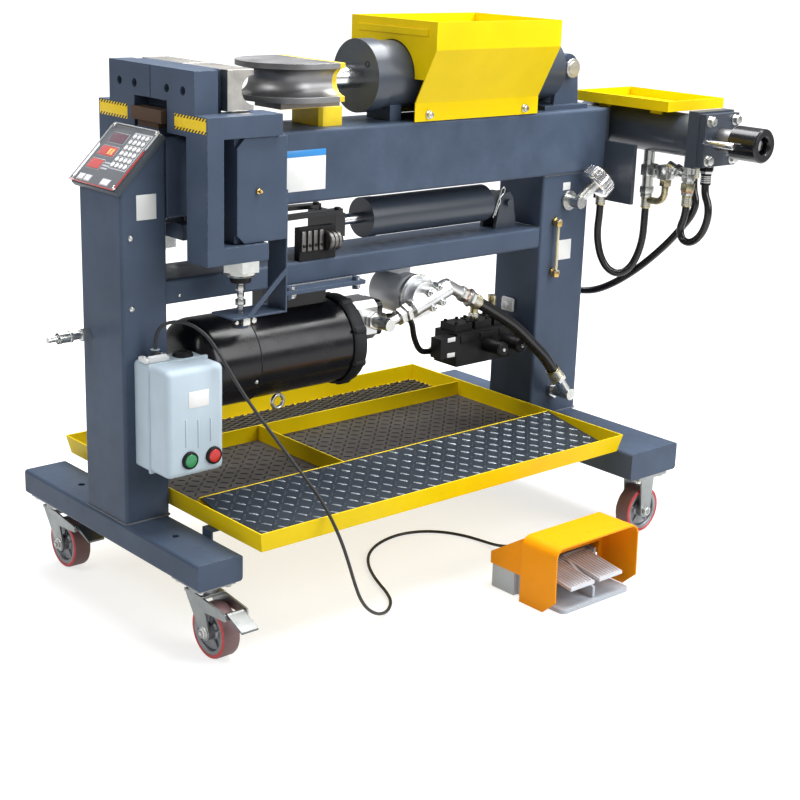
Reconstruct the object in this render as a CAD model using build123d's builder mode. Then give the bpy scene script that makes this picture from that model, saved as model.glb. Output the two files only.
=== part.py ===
from build123d import *
import os
from math import cos, radians, sin, sqrt, tan

os.makedirs("parts", exist_ok=True)

# All sizes are in millimetres. Places are measured from a datum: X = 0 at the left column's centre,
# Y = 0 at the beam's middle plane (negative Y is the operator's side), Z = 0 on the floor.

# Fits
seat_gap = 0.05         # between pieces that are bolted or pressed together
run_gap = 0.05          # radial clearance of a running shaft
slide_gap = 0.4         # between faces that slide or swing past each other
sheet = 3.0             # sheet metal of trays and covers

# Casters
wheel_radius = 63.5
wheel_width = 46.0
wheel_dish = 9.0
caster_height = 172.0   # floor to the underside of the feet
caster_plate = 8.0
caster_plate_length = 112.0
caster_plate_width = 96.0
fork_plate = 5.0
fork_room = 4.0         # between the wheel and each fork leg
fork_crown = 6.0
crown_clearance = 12.0  # above the tread
swivel_y = 322.0        # left casters' swivel axes from the middle plane
swivel_trail = 48.0
axle_radius = 8.0
axle_boss = 19.0
kingpin_radius = 8.0
rigid_front_y = 430.0
rigid_back_y = 352.0
brake_arm = 72.0        # pivot ahead of the axle
brake_lift = 62.0       # pivot above the axle
brake_pin_radius = 4.0
brake_reach = 58.0
brake_width = 44.0

# Feet
foot_wall = 6.0
tube_corner = 8.0
left_foot_width = 120.0
left_foot_height = 62.0
left_foot_length = 776.0
left_foot_shift = -5.0
right_foot_shift = 10.0
right_foot_width = 186.0
right_foot_height = 76.0
right_foot_front = 478.0
right_foot_back = 408.0
cap_thickness = 6.0
anchor_radius = 9.0
anchor_y = 209.0
ledge_width = 26.0
ledge_thickness = 6.0
ledge_length = 34.0     # short ledges on the left foot
ledge_reach = 263.0
long_ledge = 560.0      # one ledge along the right foot

# Columns, rail and beam
column_wall = 6.0
left_column_width = 118.0
left_column_depth = 178.0
column_spacing = 1363.0
right_column_width = 186.0
right_column_depth = 171.0
rail_top = 795.0
rail_height = 57.0
rail_depth = 162.0
rail_wall = 5.0
beam_bottom = 938.0
beam_height = 173.0
beam_depth = 184.0
beam_wall = 8.0
beam_overhang = 140.0   # past the right column's centre

# Gates and their hinges
hinge_x = 202.0
hinge_y = 170.0
hinge_pin_radius = 22.0
bush_wall = 5.0
bush_length = 34.0
hinge_box_left = 39.0   # from the hinge axis
hinge_box_right = 97.0
hinge_box_front = 212.0
hinge_box_wall = 12.0
hinge_box_drop = 50.0   # below the beam
box_corner = 20.0       # cut corners of the hinge box's front plate
gate_back = 77.0        # the gates' faces that look at the left column
gate_outer = 223.0
gate_leg_width = 81.0
gate_leg_depth = 43.0
gate_arm_gap = 2.0      # between arms and hinge box
top_arm = 48.0
arm_over_beam = 13.0    # between the beam's top and the top arms
top_arm_right = 278.0
top_arm_inner = 67.0
bottom_arm = 38.0
bottom_arm_right = 242.0
gate_bar_depth = 88.0   # top bar along X
gate_bar_outer = 174.0
gate_half_gap = 1.5
gate_bar_height = 94.0
shoe_slot_width = 27.0  # upright slot beside the shoe at the bar's outer end
shoe_slot_depth = 26.0
shoe_hole_radius = 10.0
shoe_hole_first = 66.0
shoe_hole_pitch = 63.5
shoe_depth = 70.0
shoe_inner = 5.0
groove_radius = 32.0
nut_flats = 80.0
nut_height = 30.0
collar_radius = 18.0
collar_height = 10.0
strike_width = 124.0
strike_depth = 36.0
strike_height = 28.0
strike_proud = 13.0     # ahead of the gates' back faces
strike_gap = 1.0        # under the gates' top bars
strike_post_inset = 20.0
strike_post_left = 6.0
strike_post_right = 10.0
strike_recess = 22.0    # hollow of the gates' bars over the strike bar
strike_recess_depth = 40.0
strike_recess_side = 5.0
shoe_lift = 4.0         # above the top arms
shoe_trim = 2.0

# Angle sensor
coupling_radius = 7.0
encoder_plate_z = 716.0
encoder_sheet = 4.0
encoder_radius = 18.0
encoder_height = 30.0
encoder_plate_left = 50.0
encoder_bracket_top = 1000.0
encoder_bracket_width = 70.0
encoder_shelf_width = 85.0
strut_rise = 105.0      # strut's upper end above the shelf
strut_width = 16.0
strut_foot = 14.0       # strut's lower end left of the hinge axis

# Ram, bend die and cylinder
ram_stroke = 225.0
ram_z = 1221.0
die_radius = 122.0
die_thickness = 90.0
die_centre_x = 454.0
die_straight = 81.0
carriage_length = 73.0
carriage_width = 120.0
carriage_height = 46.0
carriage_past_die = 50.0
tongue_left = 54.0      # steel tongue under the die, from the die's centre
ram_rod_radius = 31.0
gland_x = 668.0
gland_radius = 90.0
gland_length = 46.0
barrel_radius = 84.0
barrel_bore = 70.0
clevis_past_column = 22.0   # clevis pin past the right column's centre
rear_cap = 40.0
piston_length = 46.0
piston_gap = 0.1
clevis_reach = 51.0     # from the rear cap to the pin
clevis_pin_radius = 18.0
clevis_lug = 60.0
clevis_lug_radius = 38.0
clevis_ear = 14.0
clevis_base = 12.0
clevis_base_left = 100.0
clevis_base_right = 70.0
clevis_base_margin = 16.0
clevis_foot_left = 14.0
clevis_foot_right = 10.0
clevis_pin_proud = 12.0
piston_rest = 6.0       # piston to rear cap at rest
carriage_corner = 8.0
saddle_inset = 76.0     # saddle under the barrel, from the gland's face
saddle_length = 38.0
saddle_width = 90.0

# Hopper over the cylinder
hopper_inset = 118.0    # from the gland's face
hopper_end_gap = 71.0   # to the barrel's right end
hopper_foot_height = 46.0
hopper_top_half = 163.0
hopper_floor_gap = 7.0  # over the barrel
hopper_depth = 46.0     # floor to rim
hopper_fold_drop = 21.0
hopper_end_low = 5.0    # lower edge of the left end plate, under the cylinder's axis
hopper_ridge = 16.0
hopper_ridge_half = 132.0
hopper_ridge_drop = 20.0
hopper_ridge_proud = 5.0

# Return cylinder of the gates
return_z = 866.0
return_gland_x = 697.0
return_gland_radius = 51.0
return_gland_length = 33.0
return_radius = 50.0
return_bore = 44.0
return_length = 375.0
return_cap = 16.0
return_rod_radius = 14.0
return_rod_inside = 330.0
return_lug_length = 92.0
return_lug_half = 20.0
return_lug_height = 50.0
return_pin_radius = 10.0
return_ear = 10.0
return_ear_radius = 26.0
return_ear_foot = 14.0
lug_left = -4.0         # gate lug, from the hinge axis
lug_right = 40.0
lug_inner = 58.0
crosshead_length = 32.0
rod_show = 97.0         # rod between crosshead and gland at rest
crosshead_width = 110.0
crosshead_height = 58.0
link_thickness = 10.0
link_width = 28.0
link_pin_radius = 8.0
link_end_x = 222.0
link_end_y = 70.0

# Motor, pump and filter
motor_y = -20.0
motor_z = 568.0
motor_radius = 108.0
motor_left = 273.0
motor_length = 305.0
motor_wall = 8.0
motor_shield = 14.0
flange_radius = 111.0
flange_length = 40.0
cowl_left = 126.0
cowl_radius = 112.0
cowl_lap = 20.0
cowl_dome = 50.0        # rounding of the cowl's end
cowl_wall = 4.0
shaft_radius = 14.0
rotor_radius = 66.0
rotor_length = 200.0
fan_radius = 92.0
fan_length = 40.0
motor_plate_left = 359.0
motor_plate_length = 253.0
motor_plate_width = 210.0
motor_plate_thickness = 10.0
plate_bolt_inset = 12.0
motor_pad_width = 44.0
motor_pad_left = 86.0    # from the body's ends
motor_pad_right = 25.0
motor_pad_sink = 6.0
eye_x = 423.0
eye_ring = 17.0
eye_wire = 5.0
pump_body = 84.0        # aluminium body along the shaft
pump_cover = 22.0
pump_cover_trim = 6.0
pump_width = 96.0
pump_height = 104.0
pump_rise = 44.0        # pump's middle above the motor shaft
pump_corner = 16.0
outlet_drop = 12.0
outlet_stub = 12.0
filter_gap = 33.0       # between the pump's cover and the filter can
filter_front = 95.0
filter_z = 663.0
filter_radius = 55.0
filter_rim = 58.0
filter_rim_width = 12.0
filter_length = 140.0
filter_rounding = 12.0
filter_boss = 44.0
filter_strap = 40.0
head_y = -125.0         # casting tube in front of the can
head_radius = 24.0
head_back = 48.0        # from the can's axis to the tube's lower end
head_drop = 21.0
head_rise = 42.0        # rise of the tube over its length
head_run = 120.0
nub_radius = 15.0
nub_length = 8.0
neck_radius = 16.0
neck_length = 80.0
neck_fall = 28.0        # degrees, from the tube's end down to the hose
elbow_radius = 16.0
riser_radius = 13.0
elbow_inset = 67.0      # elbow's axis from the pump's left face

# Tank fittings on the right column
gauge_offset = -40.0    # from the tank's middle
gauge_bottom = 668.0
gauge_height = 142.0
gauge_radius = 8.0
gauge_tube_radius = 4.0
gauge_reach = 16.0
filler_offset = 9.0
filler_z = 864.0
filler_flange_radius = 27.0
filler_radius = 17.0
filler_neck_radius = 14.0
filler_reach = 36.0
filler_rise_length = 62.0
cap_radius = 47.0
cap_length = 46.0
port_offset = -6.0
port_z = 320.0
port_radius = 17.0
port_reach = 56.0

# Valve blocks
manifold_length = 220.0
manifold_depth = 90.0
manifold_height = 92.0
manifold_bottom = 430.0
manifold_standoff = 40.0
seat_margin = 6.0
inlet_rise = 40.0
inlet_y = 12.0
solenoid_length = 60.0
solenoid_width = 40.0
solenoid_height = 62.0
coil_length = 56.0
coil_radius = 19.0
return_valve_left = 440.0
return_valve_length = 110.0
return_valve_front = 80.0
return_valve_depth = 21.5
return_valve_height = 80.0
return_coil_radius = 10.0
return_coil_length = 26.0

# Expander at the beam's right end
expander_reach = 97.0   # past the beam's end
expander_z = 1055.0
expander_radius = 58.0
expander_back = 70.0
expander_front = 360.0
expander_bore = 30.0
expander_end = 20.0
expander_gland = 24.0
expander_plate_trim = 5.0
rod_hole_gap = 4.0
expander_plate = 150.0
expander_plate_one = 34.0
expander_plate_two = 22.0
nose_radius = 45.0
nose_neck_radius = 31.0
nose_neck_length = 54.0
nose_bore = 23.0
nose_length = 142.0
draw_rod_radius = 14.0
draw_stroke = 50.0
draw_rod_recess = 16.0
draw_piston = 30.0
draw_rest = 20.0
bracket_plate = 12.0
bracket_drop = 82.0     # below the beam
bracket_tail_front = 200.0
bracket_tail_lap = 30.0
bracket_tail_top = 90.0  # below the beam's top
saddle_half = 55.0
saddle_rise = 44.0
tool_tray_width = 240.0
tool_tray_left = 7.0    # from the beam's end
tool_tray_front = 300.0
tool_tray_back = 40.0
tool_tray_depth = 28.0
tool_tray_lift = 8.0
tool_tray_pad = 60.0
tool_tray_pad_width = 40.0
tool_tray_pad_sink = 12.0

# Drip tray
tray_left_gap = 7.0      # to the left foot
tray_right_gap = 5.0
tray_front = 445.0
tray_back = 404.0
tray_bottom = 250.0
tray_depth = 47.0
tray_taper = 12.0
tray_rear_wall = 190.0
tray_step_wall = 180.0
tray_cross_x = 516.0
deck_thickness = 4.0
deck_front_rise = 6.0
mat_thickness = 4.0
mat_margin = 6.0

# Motor starter
starter_left = -31.0
starter_width = 153.0
starter_bottom = 374.0
starter_height = 252.0
starter_depth = 133.0
starter_base_depth = 60.0
starter_wall = 3.0
button_radius = 13.0
button_travel = 5.0
button_proud = 7.0
button_z = 413.0
start_x = 27.0
stop_x = 91.0
clamp_x = 5.0
clamp_y = -120.0
clamp_height = 26.0

# Control console
console_low_x = -78.0
console_low_z = 1010.0
console_tilt = 44.5
console_width = 190.0
console_slope = 171.0
console_depth = 20.0
console_edge = 6.0
face_sheet = 2.5
key_columns = 4
key_rows = 4

# Air coupler
coupler_y = 60.0
coupler_z = 658.0
coupler_reach = 165.0   # from the left column's centre

# Foot switch, standing on the floor
switch_left = 748.0
switch_width = 297.0
switch_front = 700.0
switch_back = 460.0
hood_back = 578.0
hood_front = 692.0
hood_lip = 696.0
hood_toe = 657.0
toe_height = 36.0
hood_round = 26.0
rear_inset = 14.0       # rear part of the guard, in from the hood's sides
rear_height = 91.0
rear_shoulder = 166.0
guard_height = 172.0
guard_wall = 4.0
switch_base = 10.0
switch_housing_height = 60.0
switch_housing_depth = 85.0
base_inset = 28.0       # base plate in from the hood's sides
base_corner = 14.0
cheek = 8.0
cheek_reach = 12.0
hub_passage = 94.0      # top of the gap that the pedals' hubs go through
fin_high = 78.0
fin_low = 38.0
fin_level = 600.0
fin_front = 688.0
pedal_pivot_y = -570.0
pedal_pivot_z = 66.0
pedal_pin_radius = 5.0
pedal_width = 84.0
pedal_length = 126.0
pedal_thickness = 8.0
pedal_gap = 18.0
pedal_slope = 8.0
gland_height = 42.0
switch_gland_x = 918.0
gland_proud = 14.0

# Cord and hoses
cord_radius = 4.0
suction_radius = 16.0
hose_radius = 10.5      # hoses of the expander
pressure_radius = 8.0   # hose between pump and valves
crimp_wall = 3.5
fitting_wall = 5.0      # hose fittings over the hose's radius
fitting_length = 40.0
crimp_length = 42.0
short_crimp = 30.0

# Derived places
left_foot_top = caster_height + left_foot_height
right_foot_top = caster_height + right_foot_height
beam_top = beam_bottom + beam_height
beam_right = column_spacing + beam_overhang
column_face = left_column_width / 2
tank_left = column_spacing - right_column_width / 2
tank_right = column_spacing + right_column_width / 2
tank_front = right_column_depth / 2
rail_bottom = rail_top - rail_height
top_arm_bottom = beam_top + arm_over_beam
hinge_box_bottom = beam_bottom - hinge_box_drop
hinge_box_top = top_arm_bottom - gate_arm_gap
bottom_arm_top = hinge_box_bottom - gate_arm_gap
bottom_arm_bottom = bottom_arm_top - bottom_arm
top_arm_top = top_arm_bottom + top_arm
gate_bar_face = gate_back + gate_bar_depth
shoe_face = gate_bar_face + shoe_depth
die_bottom = ram_z - die_thickness / 2
die_end = die_centre_x + die_straight
barrel_left = gland_x + gland_length
clevis_x = column_spacing + clevis_past_column
barrel_right = clevis_x - clevis_reach - rear_cap
barrel_length = barrel_right - barrel_left
hopper_left = gland_x + hopper_inset
hopper_right = barrel_right - hopper_end_gap
hopper_length = hopper_right - hopper_left
hopper_floor_z = ram_z + barrel_radius + hopper_floor_gap
hopper_fold_z = hopper_floor_z - hopper_fold_drop
hopper_rim_z = hopper_floor_z + hopper_depth
motor_right = motor_left + motor_length
motor_end = motor_right + flange_length
pump_left = motor_end + seat_gap
pump_right = pump_left + pump_body + pump_cover
pump_z = motor_z + pump_rise
filter_x = pump_right + filter_gap + filter_rim
elbow_x = pump_left + elbow_inset
head_length = sqrt(head_run ** 2 + head_rise ** 2)
head_toward = (head_run / head_length, 0, head_rise / head_length)
head_left = (filter_x - head_back, head_y, filter_z - head_drop)
gauge_x = column_spacing + gauge_offset
filler_x = column_spacing + filler_offset
port_x = column_spacing + port_offset
manifold_right = tank_left - manifold_standoff
manifold_left = manifold_right - manifold_length
manifold_top = manifold_bottom + manifold_height
expander_x = beam_right + expander_reach
expander_face = expander_front + expander_plate_one + expander_plate_two
tool_tray_x = beam_right + tool_tray_left
tool_tray_bottom = expander_z + expander_radius + tool_tray_lift
starter_back = left_column_depth / 2
starter_front = starter_back + starter_depth
starter_top = starter_bottom + starter_height
switch_right = switch_left + switch_width
axle_z = wheel_radius
left_foot_x = left_foot_shift
right_foot_x = column_spacing - right_foot_shift
tray_left = left_foot_x + left_foot_width / 2 + tray_left_gap
tray_right = right_foot_x - right_foot_width / 2 - tray_right_gap
crown_bottom = 2 * wheel_radius + crown_clearance
crown_top = crown_bottom + fork_crown
fork_inside = wheel_width / 2 + fork_room
fork_outside = fork_inside + fork_plate

# The row's origin lies on the floor under the middle of the whole machine
right_reach = tool_tray_x + tool_tray_width
datum_x = (coupler_reach - right_reach) / 2
datum_y = (switch_front - right_foot_back) / 2


def spot(x, y, z):
    """A point given from the datum."""
    return (datum_x + x, datum_y + y, z)


def middle(span):
    return (span[0] + span[1]) / 2


def level(x, y, z):
    """Horizontal plane that looks up."""
    return Plane(spot(x, y, z))


def facing_right(x, y, z):
    """Upright plane that looks along +X, with Y across and Z up."""
    return Plane(spot(x, y, z), x_dir=(0, 1, 0), z_dir=(1, 0, 0))


def facing_front(x, y, z):
    """Upright plane that looks along -Y, with X across and Z up."""
    return Plane(spot(x, y, z), x_dir=(1, 0, 0), z_dir=(0, -1, 0))


def block(x, y, z, mode=Mode.ADD):
    """Plain block between the given limits."""
    with BuildSketch(level(middle(x), middle(y), z[0])) as outline:
        Rectangle(x[1] - x[0], y[1] - y[0])
    extrude(outline.sketch, amount=z[1] - z[0], mode=mode)


def bar(at, toward, radius, length, mode=Mode.ADD):
    """Round bar from a point along a direction."""
    with BuildSketch(Plane(spot(*at), z_dir=toward)) as outline:
        Circle(radius)
    extrude(outline.sketch, amount=length, mode=mode)


def ring(at, toward, radius, bore, length):
    """Round sleeve from a point along a direction."""
    with BuildSketch(Plane(spot(*at), z_dir=toward)) as outline:
        Circle(radius)
        Circle(bore, mode=Mode.SUBTRACT)
    extrude(outline.sketch, amount=length)


def hexagon(at, toward, flats, length, bore=0.0):
    """Hexagon nut or bar from a point along a direction."""
    with BuildSketch(Plane(spot(*at), z_dir=toward)) as outline:
        RegularPolygon(flats / 2, 6, major_radius=False)
        if bore:
            Circle(bore, mode=Mode.SUBTRACT)
    extrude(outline.sketch, amount=length)


def tube(plane, width, height, wall, length):
    """Rectangular tube with rounded edges, extruded from a plane."""
    with BuildSketch(plane) as outline:
        RectangleRounded(width, height, tube_corner)
        Rectangle(width - 2 * wall, height - 2 * wall, mode=Mode.SUBTRACT)
    extrude(outline.sketch, amount=length)


def side_profile(x, points):
    """Flat plate with an outline in Y and Z, between two places along X."""
    with BuildSketch(facing_right(x[0], 0, 0)) as outline:
        Polygon(*points, align=None)
    extrude(outline.sketch, amount=x[1] - x[0])


def front_profile(y, points):
    """Flat plate with an outline in X and Z, between two places along Y."""
    with BuildSketch(facing_front(0, y[1], 0)) as outline:
        Polygon(*points, align=None)
    extrude(outline.sketch, amount=y[1] - y[0])


def bend_radii(points):
    """Largest arc for each corner of a route: 0.45 of the shorter run over tan(half turn)."""
    radii = []
    for before, here, after in zip(points, points[1:], points[2:]):
        run_in = Vector(*here) - Vector(*before)
        run_out = Vector(*after) - Vector(*here)
        turn = radians(run_in.get_angle(run_out))
        radii.append(0.45 * min(run_in.length, run_out.length) / tan(turn / 2))
    return radii


def hose(name, points, radius):
    """Round hose or cord along straight runs and tangent arcs."""
    places = [spot(*point) for point in points]
    radii = bend_radii(places)
    with BuildLine():
        route = FilletPolyline(*places, radius=radii)
    with BuildSketch(Plane(route @ 0, z_dir=route % 0)) as section:
        Circle(radius)
    sweep(section.sketch, path=route)
    print(name, "length", round(route.length, 1), "radii", [round(r) for r in radii])


def keep(piece, name):
    """Label a finished piece and write it."""
    piece.part.label = name
    export_step(piece.part, f"parts/{name}.step")


# Feet: rectangular tubes with end caps, anchor holes and ledges for the tray

with BuildPart() as left_foot:
    half = left_foot_length / 2
    tube_length = left_foot_length - 2 * (cap_thickness + seat_gap)
    foot_plane = facing_front(left_foot_x, tube_length / 2, caster_height + left_foot_height / 2)
    tube(foot_plane, left_foot_width, left_foot_height, foot_wall, tube_length)
    inner_face = left_foot_x + left_foot_width / 2
    for side in (-1, 1):
        ledge_y = sorted((side * (ledge_reach - ledge_length), side * ledge_reach))
        block((inner_face, inner_face + ledge_thickness), ledge_y,
              (left_foot_top - 3 * ledge_thickness, tray_bottom))
        block((inner_face, inner_face + ledge_width), ledge_y, (tray_bottom - ledge_thickness, tray_bottom))
    for side in (-1, 1):
        bar((left_foot_x, side * anchor_y, caster_height - 1), (0, 0, 1), anchor_radius,
            left_foot_height + 2, mode=Mode.SUBTRACT)
    for y in (half, -half + cap_thickness):
        with BuildSketch(facing_front(left_foot_x, y, caster_height + left_foot_height / 2)):
            RectangleRounded(left_foot_width, left_foot_height, tube_corner)
        extrude(amount=cap_thickness)
keep(left_foot, "left_foot")

with BuildPart() as right_foot:
    tube_length = right_foot_front + right_foot_back - 2 * (cap_thickness + seat_gap)
    tube_back = right_foot_back - cap_thickness - seat_gap
    foot_plane = facing_front(right_foot_x, tube_back, caster_height + right_foot_height / 2)
    tube(foot_plane, right_foot_width, right_foot_height, foot_wall, tube_length)
    inner_face = right_foot_x - right_foot_width / 2
    block((inner_face - ledge_thickness, inner_face), (-long_ledge / 2, long_ledge / 2),
          (right_foot_top - 3 * ledge_thickness, tray_bottom))
    block((inner_face - ledge_width, inner_face), (-long_ledge / 2, long_ledge / 2),
          (tray_bottom - ledge_thickness, tray_bottom))
    for side in (-1, 1):
        bar((right_foot_x, side * anchor_y, caster_height - 1), (0, 0, 1), anchor_radius,
            right_foot_height + 2, mode=Mode.SUBTRACT)
    for y in (right_foot_back, -right_foot_front + cap_thickness):
        with BuildSketch(facing_front(right_foot_x, y, caster_height + right_foot_height / 2)):
            RectangleRounded(right_foot_width, right_foot_height, tube_corner)
        extrude(amount=cap_thickness)
keep(right_foot, "right_foot")

# Columns, lower rail and main beam; the left column's top is cut on the console's slope

slope_dir = (cos(radians(console_tilt)), 0, sin(radians(console_tilt)))
face_normal = (-slope_dir[2], 0, slope_dir[0])
face_middle = (console_low_x + slope_dir[0] * console_slope / 2, 0,
               console_low_z + slope_dir[2] * console_slope / 2)
console_plane = Plane(spot(*face_middle), x_dir=(0, -1, 0), z_dir=face_normal)

with BuildPart() as left_column:
    column_height = face_middle[2] + console_slope - left_foot_top
    tube(level(0, 0, left_foot_top), left_column_width, left_column_depth, column_wall, column_height)
    with BuildSketch(console_plane.offset(-console_depth - seat_gap)):
        Rectangle(3 * console_slope, 3 * console_slope)
    extrude(amount=3 * console_slope, mode=Mode.SUBTRACT)
keep(left_column, "left_column")

with BuildPart() as right_column:
    column_height = beam_bottom - right_foot_top
    tube(level(column_spacing, 0, right_foot_top), right_column_width, right_column_depth,
         column_wall, column_height)
    bar((port_x, -tank_front - 1, port_z), (0, 1, 0), port_radius - crimp_wall, column_wall + 2,
        mode=Mode.SUBTRACT)
    bar((filler_x, -tank_front - 1, filler_z), (0, 1, 0), filler_radius - crimp_wall, column_wall + 2,
        mode=Mode.SUBTRACT)
keep(right_column, "right_column")

with BuildPart() as lower_rail:
    rail_plane = facing_right(column_face, 0, rail_top - rail_height / 2)
    tube(rail_plane, rail_depth, rail_height, rail_wall, tank_left - column_face)
keep(lower_rail, "lower_rail")

with BuildPart() as main_beam:
    beam_plane = facing_right(column_face, 0, beam_bottom + beam_height / 2)
    tube(beam_plane, beam_depth, beam_height, beam_wall, beam_right - column_face)
    strike_left = gate_back - strike_proud
    strike_top = top_arm_top - strike_gap
    post_half = strike_width / 2 - strike_post_inset
    block((strike_left + strike_post_left, gate_bar_face - strike_post_right), (-post_half, post_half),
          (beam_top, strike_top - strike_height))
    block((strike_left, strike_left + strike_depth), (-strike_width / 2, strike_width / 2),
          (strike_top - strike_height, strike_top))
keep(main_beam, "main_beam")

# Hinge boxes on the beam's sides, each with two bushes

with BuildPart() as hinge_boxes:
    bush_radius = hinge_pin_radius + run_gap + bush_wall
    box_x = (hinge_x - hinge_box_left, hinge_x + hinge_box_right)
    box_z = (hinge_box_bottom, hinge_box_top)
    for side in (-1, 1):
        wall = hinge_box_wall
        box_y = sorted((side * beam_depth / 2, side * hinge_box_front))
        block(box_x, sorted((side * beam_depth / 2, side * (hinge_box_front - wall))), box_z)
        front_profile(sorted((side * hinge_box_front, side * (hinge_box_front - wall))),
                      [(box_x[0], box_z[0] + box_corner), (box_x[0], box_z[1] - box_corner),
                       (box_x[0] + box_corner, box_z[1]), (box_x[1], box_z[1]), (box_x[1], box_z[0]),
                       (box_x[0] + box_corner, box_z[0])])
        block((box_x[0] + wall, box_x[1] - wall), (box_y[0] + wall, box_y[1] - wall),
              (box_z[0] + bush_length, box_z[1] - bush_length), mode=Mode.SUBTRACT)
        bar((hinge_x, side * hinge_y, box_z[0] - 1), (0, 0, 1), bush_radius + seat_gap,
            box_z[1] - box_z[0] + 2, mode=Mode.SUBTRACT)
        for z in (box_z[0], box_z[1] - bush_length):
            ring((hinge_x, side * hinge_y, z), (0, 0, 1), bush_radius, hinge_pin_radius + run_gap, bush_length)
keep(hinge_boxes, "hinge_boxes")

# Gates: a C frame that straddles the hinge box, with the shoe bar on top


def gate(side):
    """C frame and shoe bar of one gate; side is -1 at the front and 1 at the rear."""
    outer = sorted((side * gate_outer, side * (gate_outer - gate_leg_width)))
    inner = sorted((side * (gate_outer - gate_leg_width), side * top_arm_inner))
    block((gate_back, gate_back + gate_leg_depth), outer, (bottom_arm_bottom, top_arm_top))
    block((gate_back, top_arm_right), outer, (top_arm_bottom, top_arm_top))
    block((gate_back, gate_bar_face), inner, (top_arm_bottom, top_arm_top))
    block((gate_back, bottom_arm_right), outer, (bottom_arm_bottom, bottom_arm_top))
    lug_y = sorted((side * (gate_outer - gate_leg_width), side * lug_inner))
    block((hinge_x + lug_left, hinge_x + lug_right), lug_y, (bottom_arm_bottom, bottom_arm_top))
    bar((hinge_x, side * hinge_y, bottom_arm_bottom - 1), (0, 0, 1), hinge_pin_radius + seat_gap,
        top_arm_top - bottom_arm_bottom + 2, mode=Mode.SUBTRACT)
    bar_y = sorted((side * gate_half_gap, side * gate_bar_outer))
    block((gate_back, gate_bar_face), bar_y,
          (top_arm_top + seat_gap, top_arm_top + gate_bar_height))
    slot_y = sorted((side * (gate_bar_outer - shoe_slot_depth), side * (gate_bar_outer + 1)))
    block((gate_bar_face - shoe_slot_width, gate_bar_face + 1), slot_y,
          (top_arm_top + seat_gap, top_arm_top + gate_bar_height + 1), mode=Mode.SUBTRACT)
    recess_y = sorted((0, side * (strike_width / 2 + strike_recess_side)))
    block((gate_back - 1, gate_back + strike_recess_depth), recess_y,
          (top_arm_top, top_arm_top + strike_recess), mode=Mode.SUBTRACT)
    for hole in (shoe_hole_first, shoe_hole_first + shoe_hole_pitch):
        bar((gate_back - 1, side * hole, ram_z), (1, 0, 0), shoe_hole_radius, gate_bar_depth + 2,
            mode=Mode.SUBTRACT)


def back_shoe(side):
    """Grooved shoe that the pipe is bent against."""
    shoe_y = sorted((side * shoe_inner, side * (gate_bar_outer - shoe_trim)))
    block((gate_bar_face, shoe_face), shoe_y, (top_arm_top + shoe_lift, top_arm_top + gate_bar_height))
    bar((shoe_face, -gate_bar_outer - 5, ram_z), (0, 1, 0), groove_radius, 2 * gate_bar_outer + 10,
        mode=Mode.SUBTRACT)


def hinge_pin(side, with_coupling):
    """Hinge pin with its nut and collar, and the sensor's coupling shaft under the front one."""
    nut_top = bottom_arm_bottom - seat_gap
    nut_bottom = nut_top - nut_height
    bar((hinge_x, side * hinge_y, nut_bottom), (0, 0, 1), hinge_pin_radius, top_arm_top - nut_bottom)
    hexagon((hinge_x, side * hinge_y, nut_bottom), (0, 0, 1), nut_flats, nut_height,
            bore=hinge_pin_radius + seat_gap)
    bar((hinge_x, side * hinge_y, nut_bottom), (0, 0, -1), collar_radius, collar_height)
    if with_coupling:
        shaft_top = nut_bottom - collar_height
        bar((hinge_x, side * hinge_y, shaft_top), (0, 0, -1), coupling_radius,
            shaft_top - encoder_plate_z + encoder_sheet)


with BuildPart() as front_gate:
    gate(-1)
keep(front_gate, "front_gate")

with BuildPart() as rear_gate:
    gate(1)
keep(rear_gate, "rear_gate")

with BuildPart() as front_back_shoe:
    back_shoe(-1)
keep(front_back_shoe, "front_back_shoe")

with BuildPart() as rear_back_shoe:
    back_shoe(1)
keep(rear_back_shoe, "rear_back_shoe")

with BuildPart() as front_hinge_pin:
    hinge_pin(-1, True)
keep(front_hinge_pin, "front_hinge_pin")

with BuildPart() as rear_hinge_pin:
    hinge_pin(1, False)
keep(rear_hinge_pin, "rear_hinge_pin")

# Angle sensor under the front hinge, on a bent bracket with a strut

with BuildPart() as angle_sensor:
    box_side = hinge_x + hinge_box_right
    plate_front = -hinge_box_front
    block((box_side + seat_gap, box_side + encoder_sheet), (plate_front, plate_front + encoder_bracket_width),
          (encoder_plate_z, encoder_bracket_top))
    block((hinge_x - encoder_plate_left, box_side + encoder_sheet), (plate_front, plate_front + encoder_shelf_width),
          (encoder_plate_z, encoder_plate_z + encoder_sheet))
    front_profile((plate_front, plate_front + encoder_sheet),
                  [(hinge_x - strut_foot, encoder_plate_z + 1), (hinge_x - strut_foot + strut_width, encoder_plate_z + 1),
                   (box_side + 1, encoder_plate_z + strut_rise - strut_width),
                   (box_side + 1, encoder_plate_z + strut_rise)])
    bar((hinge_x, -hinge_y, encoder_plate_z), (0, 0, 1), coupling_radius + slide_gap, encoder_sheet + 1,
        mode=Mode.SUBTRACT)
    with BuildSketch(level(hinge_x, -hinge_y, encoder_plate_z - encoder_height)):
        Circle(encoder_radius)
    extrude(amount=encoder_height)
    bar((hinge_x, -hinge_y, encoder_plate_z - encoder_sheet - 4), (0, 0, 1), coupling_radius + slide_gap,
        encoder_sheet + 6, mode=Mode.SUBTRACT)
keep(angle_sensor, "angle_sensor")

# Ram: rod with piston, carriage on the beam, and the bend die

with BuildPart() as ram_rod:
    piston_left = barrel_right - piston_length - piston_rest
    bar((die_end + seat_gap, 0, ram_z), (1, 0, 0), ram_rod_radius, piston_left - die_end)
    bar((piston_left, 0, ram_z), (1, 0, 0), barrel_bore - piston_gap, piston_length)
keep(ram_rod, "ram_rod")

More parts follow.
